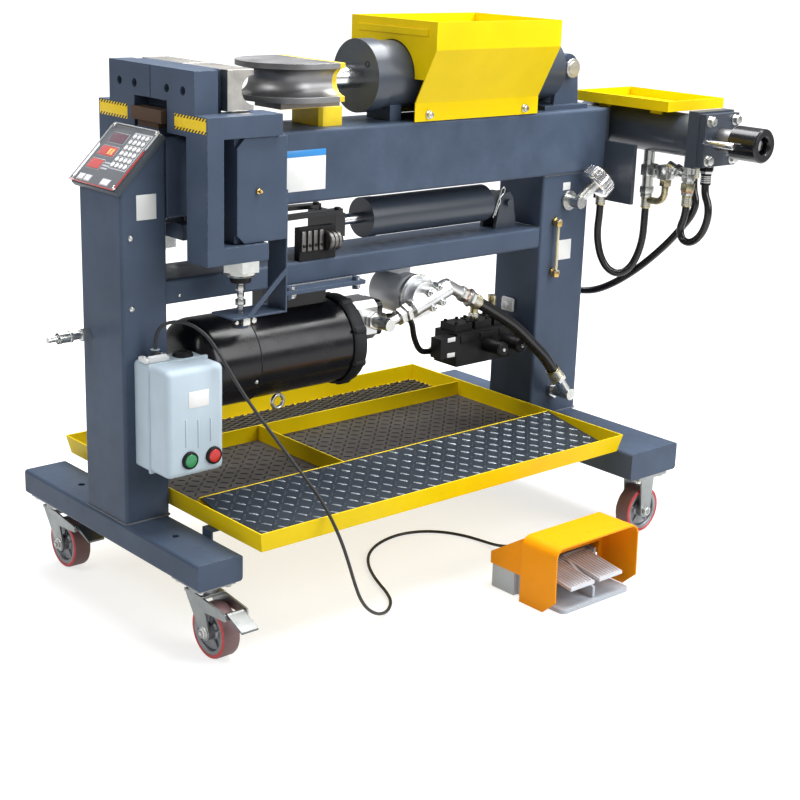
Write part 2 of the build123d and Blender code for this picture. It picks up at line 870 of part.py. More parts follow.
with BuildPart() as die_carriage:
    carriage_right = die_end + carriage_past_die
    carriage_top = beam_top + carriage_height
    block((carriage_right - carriage_length, carriage_right), (-carriage_width / 2, carriage_width / 2),
          (beam_top + slide_gap, carriage_top))
    chamfer(die_carriage.edges().filter_by(Axis.Z), carriage_corner)
    block((die_centre_x - tongue_left, carriage_right - carriage_corner),
          (-carriage_width / 2 + carriage_corner, carriage_width / 2 - carriage_corner),
          (carriage_top - 1, die_bottom - seat_gap))
keep(die_carriage, "die_carriage")

with BuildPart() as bend_die:
    with BuildSketch(level(die_centre_x, 0, die_bottom)):
        Circle(die_radius)
        with Locations((die_radius / 2, 0)):
            Rectangle(die_radius, 2 * die_radius)
        with Locations((die_straight + die_radius, 0)):
            Rectangle(2 * die_radius, 3 * die_radius, mode=Mode.SUBTRACT)
    extrude(amount=die_thickness)
    with BuildLine(level(die_centre_x, 0, ram_z)) as groove_path:
        first = Line((die_straight + 1, -die_radius), (0, -die_radius))
        bend = ThreePointArc((0, -die_radius), (-die_radius, 0), (0, die_radius))
        last = Line((0, die_radius), (die_straight + 1, die_radius))
    with BuildSketch(Plane(first @ 0, z_dir=first % 0)):
        Circle(groove_radius)
    sweep(path=groove_path.line, mode=Mode.SUBTRACT)
keep(bend_die, "bend_die")

with BuildPart() as ram_cylinder:
    ring((gland_x, 0, ram_z), (1, 0, 0), gland_radius, ram_rod_radius + run_gap, gland_length)
    ring((barrel_left, 0, ram_z), (1, 0, 0), barrel_radius, barrel_bore, barrel_length)
    bar((barrel_right, 0, ram_z), (1, 0, 0), barrel_radius, rear_cap)
    cap_end = barrel_right + rear_cap
    block((cap_end, clevis_x), (-clevis_lug / 2, clevis_lug / 2),
          (ram_z - clevis_lug_radius, ram_z + clevis_lug_radius))
    bar((clevis_x, -clevis_lug / 2, ram_z), (0, 1, 0), clevis_lug_radius, clevis_lug)
    bar((clevis_x, -clevis_lug, ram_z), (0, 1, 0), clevis_pin_radius + seat_gap, 2 * clevis_lug,
        mode=Mode.SUBTRACT)
keep(ram_cylinder, "ram_cylinder")

with BuildPart() as clevis_bracket:
    ear_inner = clevis_lug / 2 + slide_gap
    ear_outer = ear_inner + clevis_ear
    base_half = ear_outer + clevis_base_margin
    block((clevis_x - clevis_base_left, clevis_x + clevis_base_right), (-base_half, base_half),
          (beam_top, beam_top + clevis_base))
    for y in (ear_outer, -ear_inner):
        with BuildSketch(facing_front(clevis_x, y, ram_z)):
            Circle(clevis_lug_radius)
            Polygon((-clevis_lug_radius, 0), (-clevis_lug_radius - clevis_foot_left, beam_top - ram_z),
                    (clevis_lug_radius + clevis_foot_right, beam_top - ram_z), (clevis_lug_radius, 0), align=None)
            Circle(clevis_pin_radius + seat_gap, mode=Mode.SUBTRACT)
        extrude(amount=clevis_ear)
    bar((clevis_x, -ear_outer - clevis_pin_proud, ram_z), (0, 1, 0), clevis_pin_radius,
        2 * (ear_outer + clevis_pin_proud))
    saddle_x = (gland_x + saddle_inset, gland_x + saddle_inset + saddle_length)
    block(saddle_x, (-saddle_width / 2, saddle_width / 2), (beam_top, ram_z - barrel_radius / 2))
    bar((saddle_x[0] - 1, 0, ram_z), (1, 0, 0), barrel_radius + seat_gap, saddle_length + 2,
        mode=Mode.SUBTRACT)
keep(clevis_bracket, "clevis_bracket")

with BuildPart() as cylinder_hopper:
    foot_half = beam_depth / 2
    foot_z = beam_top + hopper_foot_height
    side_profile((hopper_left, hopper_right),
                 [(-foot_half, beam_top), (foot_half, beam_top), (foot_half, foot_z),
                  (hopper_top_half, hopper_fold_z), (hopper_top_half, hopper_rim_z),
                  (-hopper_top_half, hopper_rim_z), (-hopper_top_half, hopper_fold_z),
                  (-foot_half, foot_z)])
    with BuildSketch(facing_right(hopper_left + sheet, 0, 0)):
        Polygon((-foot_half + sheet, beam_top - 1), (foot_half - sheet, beam_top - 1),
                (foot_half - sheet, foot_z), (hopper_top_half - sheet, hopper_fold_z),
                (hopper_top_half - sheet, hopper_rim_z + 1), (-hopper_top_half + sheet, hopper_rim_z + 1),
                (-hopper_top_half + sheet, hopper_fold_z), (-foot_half + sheet, foot_z), align=None)
    extrude(amount=hopper_length - 2 * sheet, mode=Mode.SUBTRACT)
    for x in (hopper_left - 1, hopper_right - sheet - 1):
        bar((x, 0, ram_z), (1, 0, 0), barrel_radius + 2, sheet + 2, mode=Mode.SUBTRACT)
        block((x, x + sheet + 2), (-barrel_radius + 20, barrel_radius - 20), (beam_top - 1, ram_z),
              mode=Mode.SUBTRACT)
    # the left end plate stops above the barrel's middle, and has a ridge under the rim
    end_low = ram_z - hopper_end_low
    end_half = foot_half + (hopper_top_half - foot_half) * (end_low - foot_z) / (hopper_fold_z - foot_z)
    with BuildSketch(facing_right(hopper_left - 1, 0, 0)):
        Polygon((-foot_half + sheet, beam_top - 1), (foot_half - sheet, beam_top - 1), (foot_half - sheet, foot_z),
                (end_half - sheet, end_low), (-end_half + sheet, end_low), (-foot_half + sheet, foot_z), align=None)
    extrude(amount=sheet + 2, mode=Mode.SUBTRACT)
    ridge_top = hopper_rim_z - hopper_ridge_drop
    block((hopper_left - hopper_ridge_proud, hopper_left + 1), (-hopper_ridge_half, hopper_ridge_half),
          (ridge_top - hopper_ridge, ridge_top))
    block((hopper_left + 1, hopper_right - 1), (-hopper_top_half + 1, hopper_top_half - 1),
          (hopper_floor_z, hopper_floor_z + sheet))
keep(cylinder_hopper, "cylinder_hopper")

# Return cylinder of the gates, between rail and beam

with BuildPart() as return_cylinder:
    body_left = return_gland_x + return_gland_length
    body_right = body_left + return_length
    ring((return_gland_x, 0, return_z), (1, 0, 0), return_gland_radius, return_rod_radius + run_gap,
         return_gland_length)
    ring((body_left, 0, return_z), (1, 0, 0), return_radius, return_bore, return_length)
    bar((body_right, 0, return_z), (1, 0, 0), return_radius, return_cap)
    rear_lug_end = body_right + return_cap + return_lug_length
    block((body_right + return_cap, rear_lug_end), (-return_lug_half, return_lug_half),
          (return_z - return_lug_height / 2, return_z + return_lug_height / 2))
    return_pin_x = rear_lug_end - return_lug_height / 2
    bar((return_pin_x, -return_lug_half - 1, return_z), (0, 1, 0), return_pin_radius + seat_gap,
        2 * return_lug_half + 2, mode=Mode.SUBTRACT)
    ear_inner = return_lug_half + slide_gap
    for side in (-1, 1):
        ear = sorted((side * ear_inner, side * (ear_inner + return_ear)))
        with BuildSketch(facing_front(return_pin_x, ear[1], return_z)):
            Circle(return_ear_radius)
            Polygon((-return_ear_radius, 0), (-return_ear_radius - return_ear_foot, rail_top - return_z),
                    (return_ear_radius + return_ear_foot, rail_top - return_z), (return_ear_radius, 0), align=None)
        extrude(amount=return_ear)
    bar((return_pin_x, -ear_inner - return_ear - 14, return_z), (0, 1, 0), return_pin_radius,
        2 * (ear_inner + return_ear + 14))
keep(return_cylinder, "return_cylinder")

with BuildPart() as return_rod:
    head_x = return_gland_x - rod_show - crosshead_length
    rod_length = crosshead_length + rod_show + return_rod_inside
    bar((head_x, 0, return_z), (1, 0, 0), return_rod_radius, rod_length)
    bar((head_x + rod_length, 0, return_z), (1, 0, 0),
        return_bore - piston_gap, 30)
    block((head_x, head_x + crosshead_length), (-crosshead_width / 2, crosshead_width / 2),
          (return_z - crosshead_height / 2, return_z + crosshead_height / 2))
    link_z = return_z + crosshead_height / 2 + seat_gap
    pin_x = head_x + crosshead_length / 2
    for side in (-1, 1):
        pin_y = side * (crosshead_width / 2 - link_pin_radius - 4)
        bar((pin_x, pin_y, link_z - 2), (0, 0, 1), link_pin_radius, link_thickness + 6)
        reach = sqrt((pin_x - link_end_x) ** 2 + (link_end_y - abs(pin_y)) ** 2)
        link_dir = Vector((link_end_x - pin_x) / reach, (side * link_end_y - pin_y) / reach, 0)
        link_plane = Plane(spot(pin_x, pin_y, link_z), x_dir=link_dir, z_dir=(0, 0, 1))
        with BuildSketch(link_plane):
            with Locations((reach / 2, 0)):
                SlotCenterToCenter(reach, link_width)
            Circle(link_pin_radius + seat_gap, mode=Mode.SUBTRACT)
            with Locations((reach, 0)):
                Circle(link_pin_radius, mode=Mode.SUBTRACT)
        extrude(amount=link_thickness)
keep(return_rod, "return_rod")

# Electric motor under the rail, with its rotor and fan

with BuildPart() as motor_cowl:
    cowl_length = motor_left - cowl_left + cowl_lap
    cowl_inside = motor_radius + seat_gap
    bar((cowl_left, motor_y, motor_z), (1, 0, 0), cowl_radius, cowl_length)
    fillet(motor_cowl.edges().filter_by(GeomType.CIRCLE).sort_by(Axis.X)[0], cowl_dome)
    bar((cowl_left + cowl_dome, motor_y, motor_z), (1, 0, 0), cowl_inside, cowl_length, mode=Mode.SUBTRACT)
    bar((cowl_left + cowl_wall, motor_y, motor_z), (1, 0, 0), cowl_radius - cowl_dome, cowl_length,
        mode=Mode.SUBTRACT)

with BuildPart() as motor_body:
    ring((motor_left, motor_y, motor_z), (1, 0, 0), motor_radius, motor_radius - motor_wall, motor_length)
    bore = shaft_radius + run_gap
    ring((motor_left, motor_y, motor_z), (1, 0, 0), motor_radius, bore, motor_shield)
    ring((motor_right - motor_shield, motor_y, motor_z), (1, 0, 0), motor_radius, bore, motor_shield)
    ring((motor_right, motor_y, motor_z), (1, 0, 0), flange_radius, bore, flange_length)
    pad_low = motor_z + sqrt(motor_radius ** 2 - (motor_pad_width / 2) ** 2) - motor_pad_sink
    block((motor_left + motor_pad_left, motor_right - motor_pad_right),
          (motor_y - motor_pad_width / 2, motor_y + motor_pad_width / 2),
          (pad_low, rail_bottom - motor_plate_thickness - seat_gap))
    bar((motor_left, motor_y, motor_z), (1, 0, 0), motor_radius - motor_wall, motor_shield,
        mode=Mode.SUBTRACT)
    ring((motor_left, motor_y, motor_z), (1, 0, 0), motor_radius, bore, motor_shield)
    bar((motor_left + motor_shield, motor_y, motor_z), (1, 0, 0), motor_radius - motor_wall,
        motor_length - 2 * motor_shield, mode=Mode.SUBTRACT)
    add(motor_cowl.part)
    eye_z = motor_z - motor_radius - 2 * eye_ring
    bar((eye_x, motor_y, motor_z - motor_radius + 2), (0, 0, -1), eye_wire + 2, eye_ring)
    with BuildSketch(Plane(spot(eye_x + eye_ring, motor_y, eye_z + eye_wire), z_dir=(0, 0, 1))):
        Circle(eye_wire)
    eye_axis = Axis(spot(eye_x, motor_y, eye_z + eye_wire), (0, 1, 0))
    revolve(axis=eye_axis, revolution_arc=360)
keep(motor_body, "motor_body")

with BuildPart() as motor_rotor:
    shaft_left = cowl_left + 30
    bar((shaft_left, motor_y, motor_z), (1, 0, 0), shaft_radius, motor_end - slide_gap - shaft_left)
    core_left = middle((motor_left, motor_right)) - rotor_length / 2
    bar((core_left, motor_y, motor_z), (1, 0, 0), rotor_radius, rotor_length)
    fan_left = cowl_left + 60
    bar((fan_left, motor_y, motor_z), (1, 0, 0), fan_radius, 6)
    for step in range(8):
        angle = radians(45 * step)
        blade_dir = (0, cos(angle), sin(angle))
        blade_plane = Plane(spot(fan_left, motor_y, motor_z), x_dir=blade_dir, z_dir=(1, 0, 0))
        with BuildSketch(blade_plane):
            with Locations((fan_radius * 0.6, 0)):
                Rectangle(fan_radius * 0.7, 5)
        extrude(amount=fan_length)
keep(motor_rotor, "motor_rotor")

with BuildPart() as motor_plate:
    plate_z = (rail_bottom - motor_plate_thickness, rail_bottom)
    plate_x = (motor_plate_left, motor_plate_left + motor_plate_length)
    plate_y = (motor_y - motor_plate_width / 2, motor_y + motor_plate_width / 2)
    block(plate_x, plate_y, plate_z)
    for x in (plate_x[0] + 22, plate_x[1] - 22):
        hexagon((x, plate_y[0] + plate_bolt_inset, plate_z[1]), (0, 0, 1), 17, 9)
        hexagon((x, plate_y[0] + plate_bolt_inset, plate_z[0]), (0, 0, -1), 17, 12)
keep(motor_plate, "motor_plate")

# Hose and cord routes, as points from the datum

neck_toward = (cos(radians(neck_fall)), 0, -sin(radians(neck_fall)))
neck_start = Vector(*head_left) + Vector(*head_toward) * (head_length + nub_length)
neck_end = neck_start + Vector(*neck_toward) * neck_length
suction_start = tuple(neck_end + Vector(*neck_toward) * (crimp_length + seat_gap))
suction_next = tuple(neck_end + Vector(*neck_toward) * (2 * crimp_length))
suction_route = [
    suction_start, suction_next, (tank_left - 171, -128, 574), (tank_left - 132, -131, 549),
    (tank_left - 99, -134, 521), (tank_left - 66, -136, 491), (tank_left - 38, -138, 466),
    (tank_left - 6, -140, 436), (tank_left + 20, -142, 402),
]
pressure_z = pump_z - outlet_drop
inlet_z = manifold_bottom + inlet_rise
pressure_start = pump_right + outlet_stub + short_crimp
pressure_end = manifold_left - outlet_stub - short_crimp
pressure_route = [
    (pressure_start, motor_y, pressure_z), (pressure_start + 30, motor_y, pressure_z),
    (pressure_end - 114, motor_y + 2, pressure_z - 12), (pressure_end - 96, motor_y + 6, pressure_z - 36),
    (pressure_end - 86, motor_y + 12, pressure_z - 66), (pressure_end - 68, inlet_y - 11, inlet_z + 36),
    (pressure_end - 50, inlet_y - 4, inlet_z + 14), (pressure_end - 28, inlet_y, inlet_z),
    (pressure_end, inlet_y, inlet_z),
]
loop_hose_route = [
    (expander_x - 8, -181, 838), (expander_x - 8, -181, 790), (expander_x - 9, -180, 745),
    (expander_x - 17, -173, 700), (expander_x - 31, -161, 662), (expander_x - 54, -141, 643),
    (beam_right + 19, -120, 655), (beam_right + 1, -105, 690), (beam_right - 8, -97, 735),
    (beam_right - 10, -95, 775), (beam_right - 8, -97, 812), (beam_right - 8, -97, 843),
]
long_hose_route = [
    (expander_x + 32, -312, 938), (expander_x + 32, -312, 905), (expander_x + 32, -328, 870),
    (expander_x + 31, -317, 834), (expander_x + 29, -288, 795), (expander_x + 24, -250, 748),
    (expander_x + 14, -210, 704), (expander_x + 2, -170, 664), (expander_x - 14, -132, 630),
    (tank_right + 112, -94, 601), (tank_right + 104, -38, 573), (tank_right + 90, 22, 566),
    (tank_right + crimp_length + seat_gap, 22, 566),
]
outer_hose_route = [
    (expander_x, -377, 930), (expander_x, -377, 904), (expander_x, -394, 876), (expander_x, -396, 836),
    (expander_x, -380, 792), (expander_x, -347, 762), (expander_x, -314, 764), (expander_x, -302, 797),
    (expander_x, -318, 834), (expander_x, -318, 862),
]
switch_cord_route = [
    (clamp_x, clamp_y, starter_top + clamp_height), (clamp_x, clamp_y, 688), (20, -138, 716), (54, -172, 720),
    (84, -206, 694), (104, -236, 645), (122, -264, 592), (144, -296, 538), (168, -330, 486),
    (192, -366, 434), (214, -404, 384), (232, -441, 340), (246, -468, 290), (262, -482, 240),
    (278, -488, 188), (296, -488, 136), (318, -484, 88), (352, -474, 48), (398, -459, 18),
    (446, -436, 5), (489, -400, 5), (516, -350, 5), (536, -296, 5), (560, -242, 5),
    (590, -190, 5), (630, -142, 5), (682, -106, 5), (740, -86, 5), (800, -82, 5),
    (858, -102, 5), (902, -144, 5), (928, -197, 5), (939, -248, 5), (939, -294, 9),
    (932, -336, 20), (923, -373, 35), (switch_gland_x, -407, gland_height),
    (switch_gland_x, -switch_back + gland_proud, gland_height),
]

# Gear pump and oil filter

with BuildPart() as gear_pump:
    with BuildSketch(facing_right(pump_left, motor_y, pump_z)) as body_outline:
        Rectangle(pump_width, pump_height)
        chamfer(body_outline.vertices(), pump_corner)
    extrude(amount=pump_body)
    with BuildSketch(facing_right(pump_left + pump_body, motor_y, pump_z)) as cover_outline:
        RectangleRounded(pump_width - 2 * pump_cover_trim, pump_height - 2 * pump_cover_trim, pump_corner)
    extrude(amount=pump_cover)
    bar((pump_right, motor_y, pressure_z), (1, 0, 0), pressure_radius + crimp_wall, outlet_stub)
keep(gear_pump, "gear_pump")

with BuildPart() as oil_filter:
    bar((filter_x, -filter_front, filter_z), (0, 1, 0), filter_radius, filter_length)
    fillet(oil_filter.edges().filter_by(GeomType.CIRCLE).sort_by(Axis.Y)[-1], filter_rounding)
    bar((filter_x, -filter_front, filter_z), (0, 1, 0), filter_rim, filter_rim_width)
    bar((filter_x, -filter_front + 1, filter_z), (0, -1, 0), filter_boss, abs(head_y) - filter_front)
    block((filter_x - filter_strap / 2, filter_x + filter_strap / 2), (-filter_strap, filter_strap),
          (filter_z + filter_radius / 2, rail_bottom - seat_gap))
    # casting tube across the can's front, with the neck that takes the hose
    bar(head_left, head_toward, head_radius, head_length)
    bar(head_left, head_toward, nub_radius, head_length + nub_length)
    bar(tuple(neck_start - Vector(*neck_toward) * nub_radius), neck_toward, neck_radius, neck_length + nub_radius)
keep(oil_filter, "oil_filter")

# Hoses and cord

with BuildPart() as suction_hose:
    hose("suction_hose", suction_route, suction_radius)
keep(suction_hose, "suction_hose")

with BuildPart() as pressure_hose:
    hose("pressure_hose", pressure_route, pressure_radius)
keep(pressure_hose, "pressure_hose")

with BuildPart() as loop_hose:
    hose("loop_hose", loop_hose_route, hose_radius)
keep(loop_hose, "loop_hose")

with BuildPart() as long_hose:
    hose("long_hose", long_hose_route, hose_radius)
keep(long_hose, "long_hose")

with BuildPart() as outer_hose:
    hose("outer_hose", outer_hose_route, hose_radius)
keep(outer_hose, "outer_hose")

with BuildPart() as switch_cord:
    hose("switch_cord", switch_cord_route, cord_radius)
keep(switch_cord, "switch_cord")

# Valve blocks: the main manifold beside the tank, and the gate valve on the rail

with BuildPart() as valve_blocks:
    half_depth = manifold_depth / 2
    block((manifold_left, manifold_right), (-half_depth, half_depth), (manifold_bottom, manifold_top))
    block((manifold_right, tank_left), (-half_depth + 15, half_depth - 15),
          (manifold_bottom + 10, manifold_top - 10))
    pitch = manifold_length / 3
    for index in range(3):
        left = manifold_left + index * pitch
        block((left + seat_margin, left + pitch - seat_margin), (-half_depth + 14, half_depth - 14),
              (manifold_top, manifold_top + 22))
    for index in (1, 2):
        left = manifold_left + index * pitch
        bar((left + pitch / 2, -half_depth, manifold_top - 44), (0, -1, 0), coil_radius, coil_length)
    block((manifold_left - solenoid_length, manifold_left), (-half_depth, -half_depth + solenoid_width),
          (manifold_top - solenoid_height, manifold_top - seat_margin))
    bar((manifold_left, inlet_y, inlet_z), (-1, 0, 0), pressure_radius + crimp_wall, outlet_stub)
    valve_y = (-return_valve_front, -return_valve_front + return_valve_depth)
    block((return_valve_left, return_valve_left + return_valve_length), valve_y,
          (rail_top, rail_top + return_valve_height))
    bar((return_valve_left + return_valve_length, middle(valve_y), rail_top + return_valve_height / 2), (1, 0, 0),
        return_coil_radius, return_coil_length)
keep(valve_blocks, "valve_blocks")

# Crimps, elbows, ports and the air coupler: the rigid ends of the hydraulic lines


filler_turn = Vector(0.72, -0.2, 0.66).normalized()
filler_bend = Vector(filler_x, -tank_front - filler_reach, filler_z)
filler_end = filler_bend + filler_turn * filler_rise_length


def crimp(end, before, radius):
    """Sleeve pressed on a hose's end, out from the end along the route."""
    outward = Vector(*end) - Vector(*before)
    outward = outward / outward.length
    bar(end, tuple(outward), radius + crimp_wall, crimp_length)


with BuildPart() as pipe_fittings:
    # suction elbow between pump and filter casting
    elbow_run = (head_left[0] - elbow_x) / head_toward[0]
    elbow_z = head_left[2] - elbow_run * head_toward[2]
    elbow_face = motor_y - pump_width / 2 - seat_gap
    bar((elbow_x, elbow_face, elbow_z), (0, -1, 0), elbow_radius, elbow_face - head_y + elbow_radius)
    bar((elbow_x, head_y, elbow_z), head_toward, riser_radius, elbow_run - seat_gap)
    # suction hose ends and the tank port
    bar(suction_start, tuple(Vector(*neck_toward) * -1), suction_radius + crimp_wall, crimp_length)
    crimp(suction_route[-1], suction_route[-2], suction_radius)
    hexagon((port_x, -tank_front - seat_gap, port_z), (0, -1, 0), 2.6 * port_radius, 12)
    bar((port_x, -tank_front - seat_gap, port_z), (0, -1, 0), port_radius, port_reach + port_radius)
    hose_end = Vector(*suction_route[-1])
    hose_dir = (hose_end - Vector(*suction_route[-2])).normalized()
    nut_at = hose_end + hose_dir * crimp_length
    port_end = Vector(port_x, -tank_front - port_reach, port_z)
    last_run = port_end - nut_at
    bar(tuple(nut_at), tuple(last_run), port_radius - 2, last_run.length)
    # pump outlet
    bar((pressure_start, motor_y, pressure_z), (-1, 0, 0), pressure_radius + crimp_wall, short_crimp - seat_gap)
    bar((pressure_end, inlet_y, inlet_z), (1, 0, 0), pressure_radius + crimp_wall, short_crimp - seat_gap)
    # hose ends under the expander and beside the tank
    crimp(loop_hose_route[0], loop_hose_route[1], hose_radius)
    crimp(loop_hose_route[-1], loop_hose_route[-2], hose_radius)
    crimp(long_hose_route[0], long_hose_route[1], hose_radius)
    crimp(long_hose_route[-1], long_hose_route[-2], hose_radius)
    crimp(outer_hose_route[0], outer_hose_route[1], hose_radius)
    crimp(outer_hose_route[-1], outer_hose_route[-2], hose_radius)
    # fittings between these ends and the cylinder, the bracket's tail and the front plate
    loop_end = loop_hose_route[-1]
    outer_start = outer_hose_route[0]
    fitting_radius = hose_radius + fitting_wall
    for x, y, low in (loop_hose_route[0], long_hose_route[0], outer_hose_route[-1]):
        bar((x, y, low + crimp_length - 1), (0, 0, 1), fitting_radius, expander_z - low - crimp_length)
    bar((expander_x, expander_back, expander_z), (0, -1, 0), expander_radius + seat_gap,
        expander_back + expander_front, mode=Mode.SUBTRACT)
    tail_low = loop_end[2] + crimp_length
    bar((loop_end[0], loop_end[1], tail_low - 1), (0, 0, 1), fitting_radius, fitting_length)
    block((loop_end[0] - fitting_radius + 2, beam_right),
          (loop_end[1] - fitting_radius - 1, loop_end[1] + fitting_radius + 1),
          (tail_low + fitting_radius, tail_low + fitting_length))
    block((beam_right, beam_right + bracket_plate + seat_gap), (-bracket_tail_front, 0),
          (beam_bottom - bracket_drop - seat_gap, beam_top), mode=Mode.SUBTRACT)
    outer_low = outer_start[2] + crimp_length
    bar((outer_start[0], outer_start[1], outer_low - 1), (0, 0, 1), fitting_radius,
        expander_z - expander_plate / 2 - seat_gap - outer_low + 1)
    # air coupler on the left column
    nipple = coupler_reach - column_face
    hexagon((-column_face - seat_gap, coupler_y, coupler_z), (-1, 0, 0), 26, 22)
    bar((-column_face - seat_gap, coupler_y, coupler_z), (-1, 0, 0), 9, nipple - 34)
    bar((-coupler_reach, coupler_y, coupler_z), (1, 0, 0), 6.5, 40)
    bar((-coupler_reach + 26, coupler_y, coupler_z), (1, 0, 0), 12, 34)
    # sight gauge and filler neck on the tank
    front = -tank_front - seat_gap
    for z in (gauge_bottom, gauge_bottom + gauge_height):
        bar((gauge_x, front, z), (0, -1, 0), gauge_radius, gauge_reach + 8)
    bar((gauge_x, front - gauge_reach, gauge_bottom), (0, 0, 1), gauge_tube_radius, gauge_height)
    bar((filler_x, front, filler_z), (0, -1, 0), filler_flange_radius, 9)
    bar((filler_x, front, filler_z), (0, -1, 0), filler_radius, filler_reach + filler_radius)
    bar(tuple(filler_bend), tuple(filler_turn), filler_neck_radius, filler_rise_length)
keep(pipe_fittings, "pipe_fittings")

# Breather cap on the filler neck

with BuildPart() as breather_cap:
    cap_seat = filler_end + filler_turn * seat_gap
    bar(tuple(cap_seat), tuple(filler_turn), cap_radius, cap_length)
    cap_edges = breather_cap.edges().filter_by(GeomType.CIRCLE)
    chamfer(cap_edges, 5)
keep(breather_cap, "breather_cap")

# Expander: cylinder across the beam's end, with plates, nose and draw rod

with BuildPart() as expander_body:
    ring((expander_x, expander_back, expander_z), (0, -1, 0), expander_radius, expander_bore,
         expander_back + expander_front)
    bar((expander_x, expander_back, expander_z), (0, -1, 0), expander_radius, expander_end)
    ring((expander_x, -expander_front + expander_gland, expander_z), (0, -1, 0), expander_radius,
         draw_rod_radius + run_gap, expander_gland)
    half = expander_plate / 2
    with BuildSketch(facing_front(expander_x, -expander_front, expander_z)):
        Rectangle(expander_plate, expander_plate)
        Circle(draw_rod_radius + rod_hole_gap, mode=Mode.SUBTRACT)
    extrude(amount=expander_plate_one)
    with BuildSketch(facing_front(expander_x, -expander_front - expander_plate_one, expander_z)):
        Rectangle(expander_plate - 2 * expander_plate_trim, expander_plate - 2 * expander_plate_trim)
        Circle(nose_bore, mode=Mode.SUBTRACT)
    extrude(amount=expander_plate_two)
    # beam end plate with a tail that carries the hose elbows, and a saddle round the cylinder
    block((beam_right + seat_gap, beam_right + bracket_plate), (-beam_depth / 2, beam_depth / 2),
          (beam_bottom, beam_top))
    block((beam_right + seat_gap, beam_right + bracket_plate),
          (-bracket_tail_front, -beam_depth / 2 + bracket_tail_lap),
          (beam_bottom - bracket_drop, beam_top - bracket_tail_top))
    block((beam_right + bracket_plate - 1, expander_x), (-saddle_half, saddle_half),
          (expander_z - saddle_rise, expander_z + saddle_rise))
    bar((expander_x, expander_back - expander_end, expander_z), (0, -1, 0), expander_bore,
        expander_back + expander_front - expander_end - expander_gland, mode=Mode.SUBTRACT)
keep(expander_body, "expander_body")

with BuildPart() as expander_nose:
    nose_back = -expander_face - seat_gap
    ring((expander_x, nose_back, expander_z), (0, -1, 0), nose_neck_radius, nose_bore, nose_neck_length + 1)
    ring((expander_x, nose_back - nose_neck_length, expander_z), (0, -1, 0), nose_radius, nose_bore,
         nose_length - nose_neck_length)
    chamfer(expander_nose.edges().filter_by(GeomType.CIRCLE).sort_by(Axis.Y)[0:2], 4)
keep(expander_nose, "expander_nose")

with BuildPart() as draw_rod:
    rod_tip = expander_face + nose_length - draw_rod_recess
    rod_back = expander_back - expander_end - draw_stroke - draw_rest
    bar((expander_x, rod_back, expander_z), (0, -1, 0), draw_rod_radius, rod_back + rod_tip)
    bar((expander_x, rod_back, expander_z), (0, -1, 0), expander_bore - piston_gap, draw_piston)
keep(draw_rod, "draw_rod")

with BuildPart() as expander_tray:
    tray_x = (tool_tray_x, tool_tray_x + tool_tray_width)
    tray_y = (-tool_tray_front, tool_tray_back)
    block(tray_x, tray_y, (tool_tray_bottom, tool_tray_bottom + tool_tray_depth))
    block((tray_x[0] + sheet, tray_x[1] - sheet), (tray_y[0] + sheet, tray_y[1] - sheet),
          (tool_tray_bottom + sheet, tool_tray_bottom + tool_tray_depth + 1), mode=Mode.SUBTRACT)
    pad_half = tool_tray_pad / 2
    for y in (tray_y[0] + tool_tray_pad + pad_half, tray_y[1] - tool_tray_pad):
        block((expander_x - pad_half, expander_x + pad_half),
              (y - tool_tray_pad_width / 2, y + tool_tray_pad_width / 2),
              (expander_z + expander_radius - tool_tray_pad_sink, tool_tray_bottom))
        bar((expander_x, y - pad_half, expander_z), (0, 1, 0), expander_radius + seat_gap, tool_tray_pad,
            mode=Mode.SUBTRACT)
keep(expander_tray, "expander_tray")

# Drip tray with partitions, and its decks and mats

with BuildPart() as drip_tray:
    flare = tray_depth * tan(radians(tray_taper))
    tray_middle = (middle((tray_left, tray_right)), middle((-tray_front, tray_back)))
    with BuildSketch(level(tray_middle[0], tray_middle[1], tray_bottom)):
        Rectangle(tray_right - tray_left - 2 * flare, tray_front + tray_back - 2 * flare)
    extrude(amount=tray_depth, taper=-tray_taper)
    with BuildSketch(level(tray_middle[0], tray_middle[1], tray_bottom + sheet)):
        Rectangle(tray_right - tray_left - 2 * flare - 2 * sheet,
                  tray_front + tray_back - 2 * flare - 2 * sheet)
    extrude(amount=tray_depth, taper=-tray_taper, mode=Mode.SUBTRACT)
    inner_x = (tray_left + flare + 2, tray_right - flare - 2)
    for y in (tray_rear_wall, -tray_step_wall):
        block(inner_x, (y - sheet, y), (tray_bottom + 1, tray_bottom + tray_depth - 2))
    block((tray_cross_x, tray_cross_x + sheet), (-tray_step_wall, tray_rear_wall - 1),
          (tray_bottom + 1, tray_bottom + tray_depth - 2))
keep(drip_tray, "drip_tray")

with BuildPart() as tray_decks:
    deck_x = (inner_x[0] + 6, inner_x[1] - 6)
    deck_back_z = tray_bottom + tray_depth - 1
    deck_front_y = -tray_front + flare + sheet + 8
    deck_front_z = tray_bottom + sheet + seat_gap
    side_profile(deck_x, [(-tray_step_wall - sheet + 1, deck_back_z), (deck_front_y, deck_front_z),
                          (deck_front_y, deck_front_z + deck_thickness),
                          (-tray_step_wall - sheet + 1, deck_back_z + deck_thickness)])
    mat_z = (tray_bottom + sheet + seat_gap, tray_bottom + sheet + mat_thickness)
    block(deck_x, (tray_rear_wall + mat_margin, tray_back - flare - sheet - mat_margin), mat_z)
    mat_y = (-tray_step_wall + mat_margin, tray_rear_wall - sheet - mat_margin)
    block((deck_x[0], tray_cross_x - mat_margin), mat_y, mat_z)
    block((tray_cross_x + sheet + mat_margin, deck_x[1]), mat_y, mat_z)
keep(tray_decks, "tray_decks")

# Motor starter on the left column

seam_y = -starter_back - starter_base_depth
starter_x = (starter_left, starter_left + starter_width)

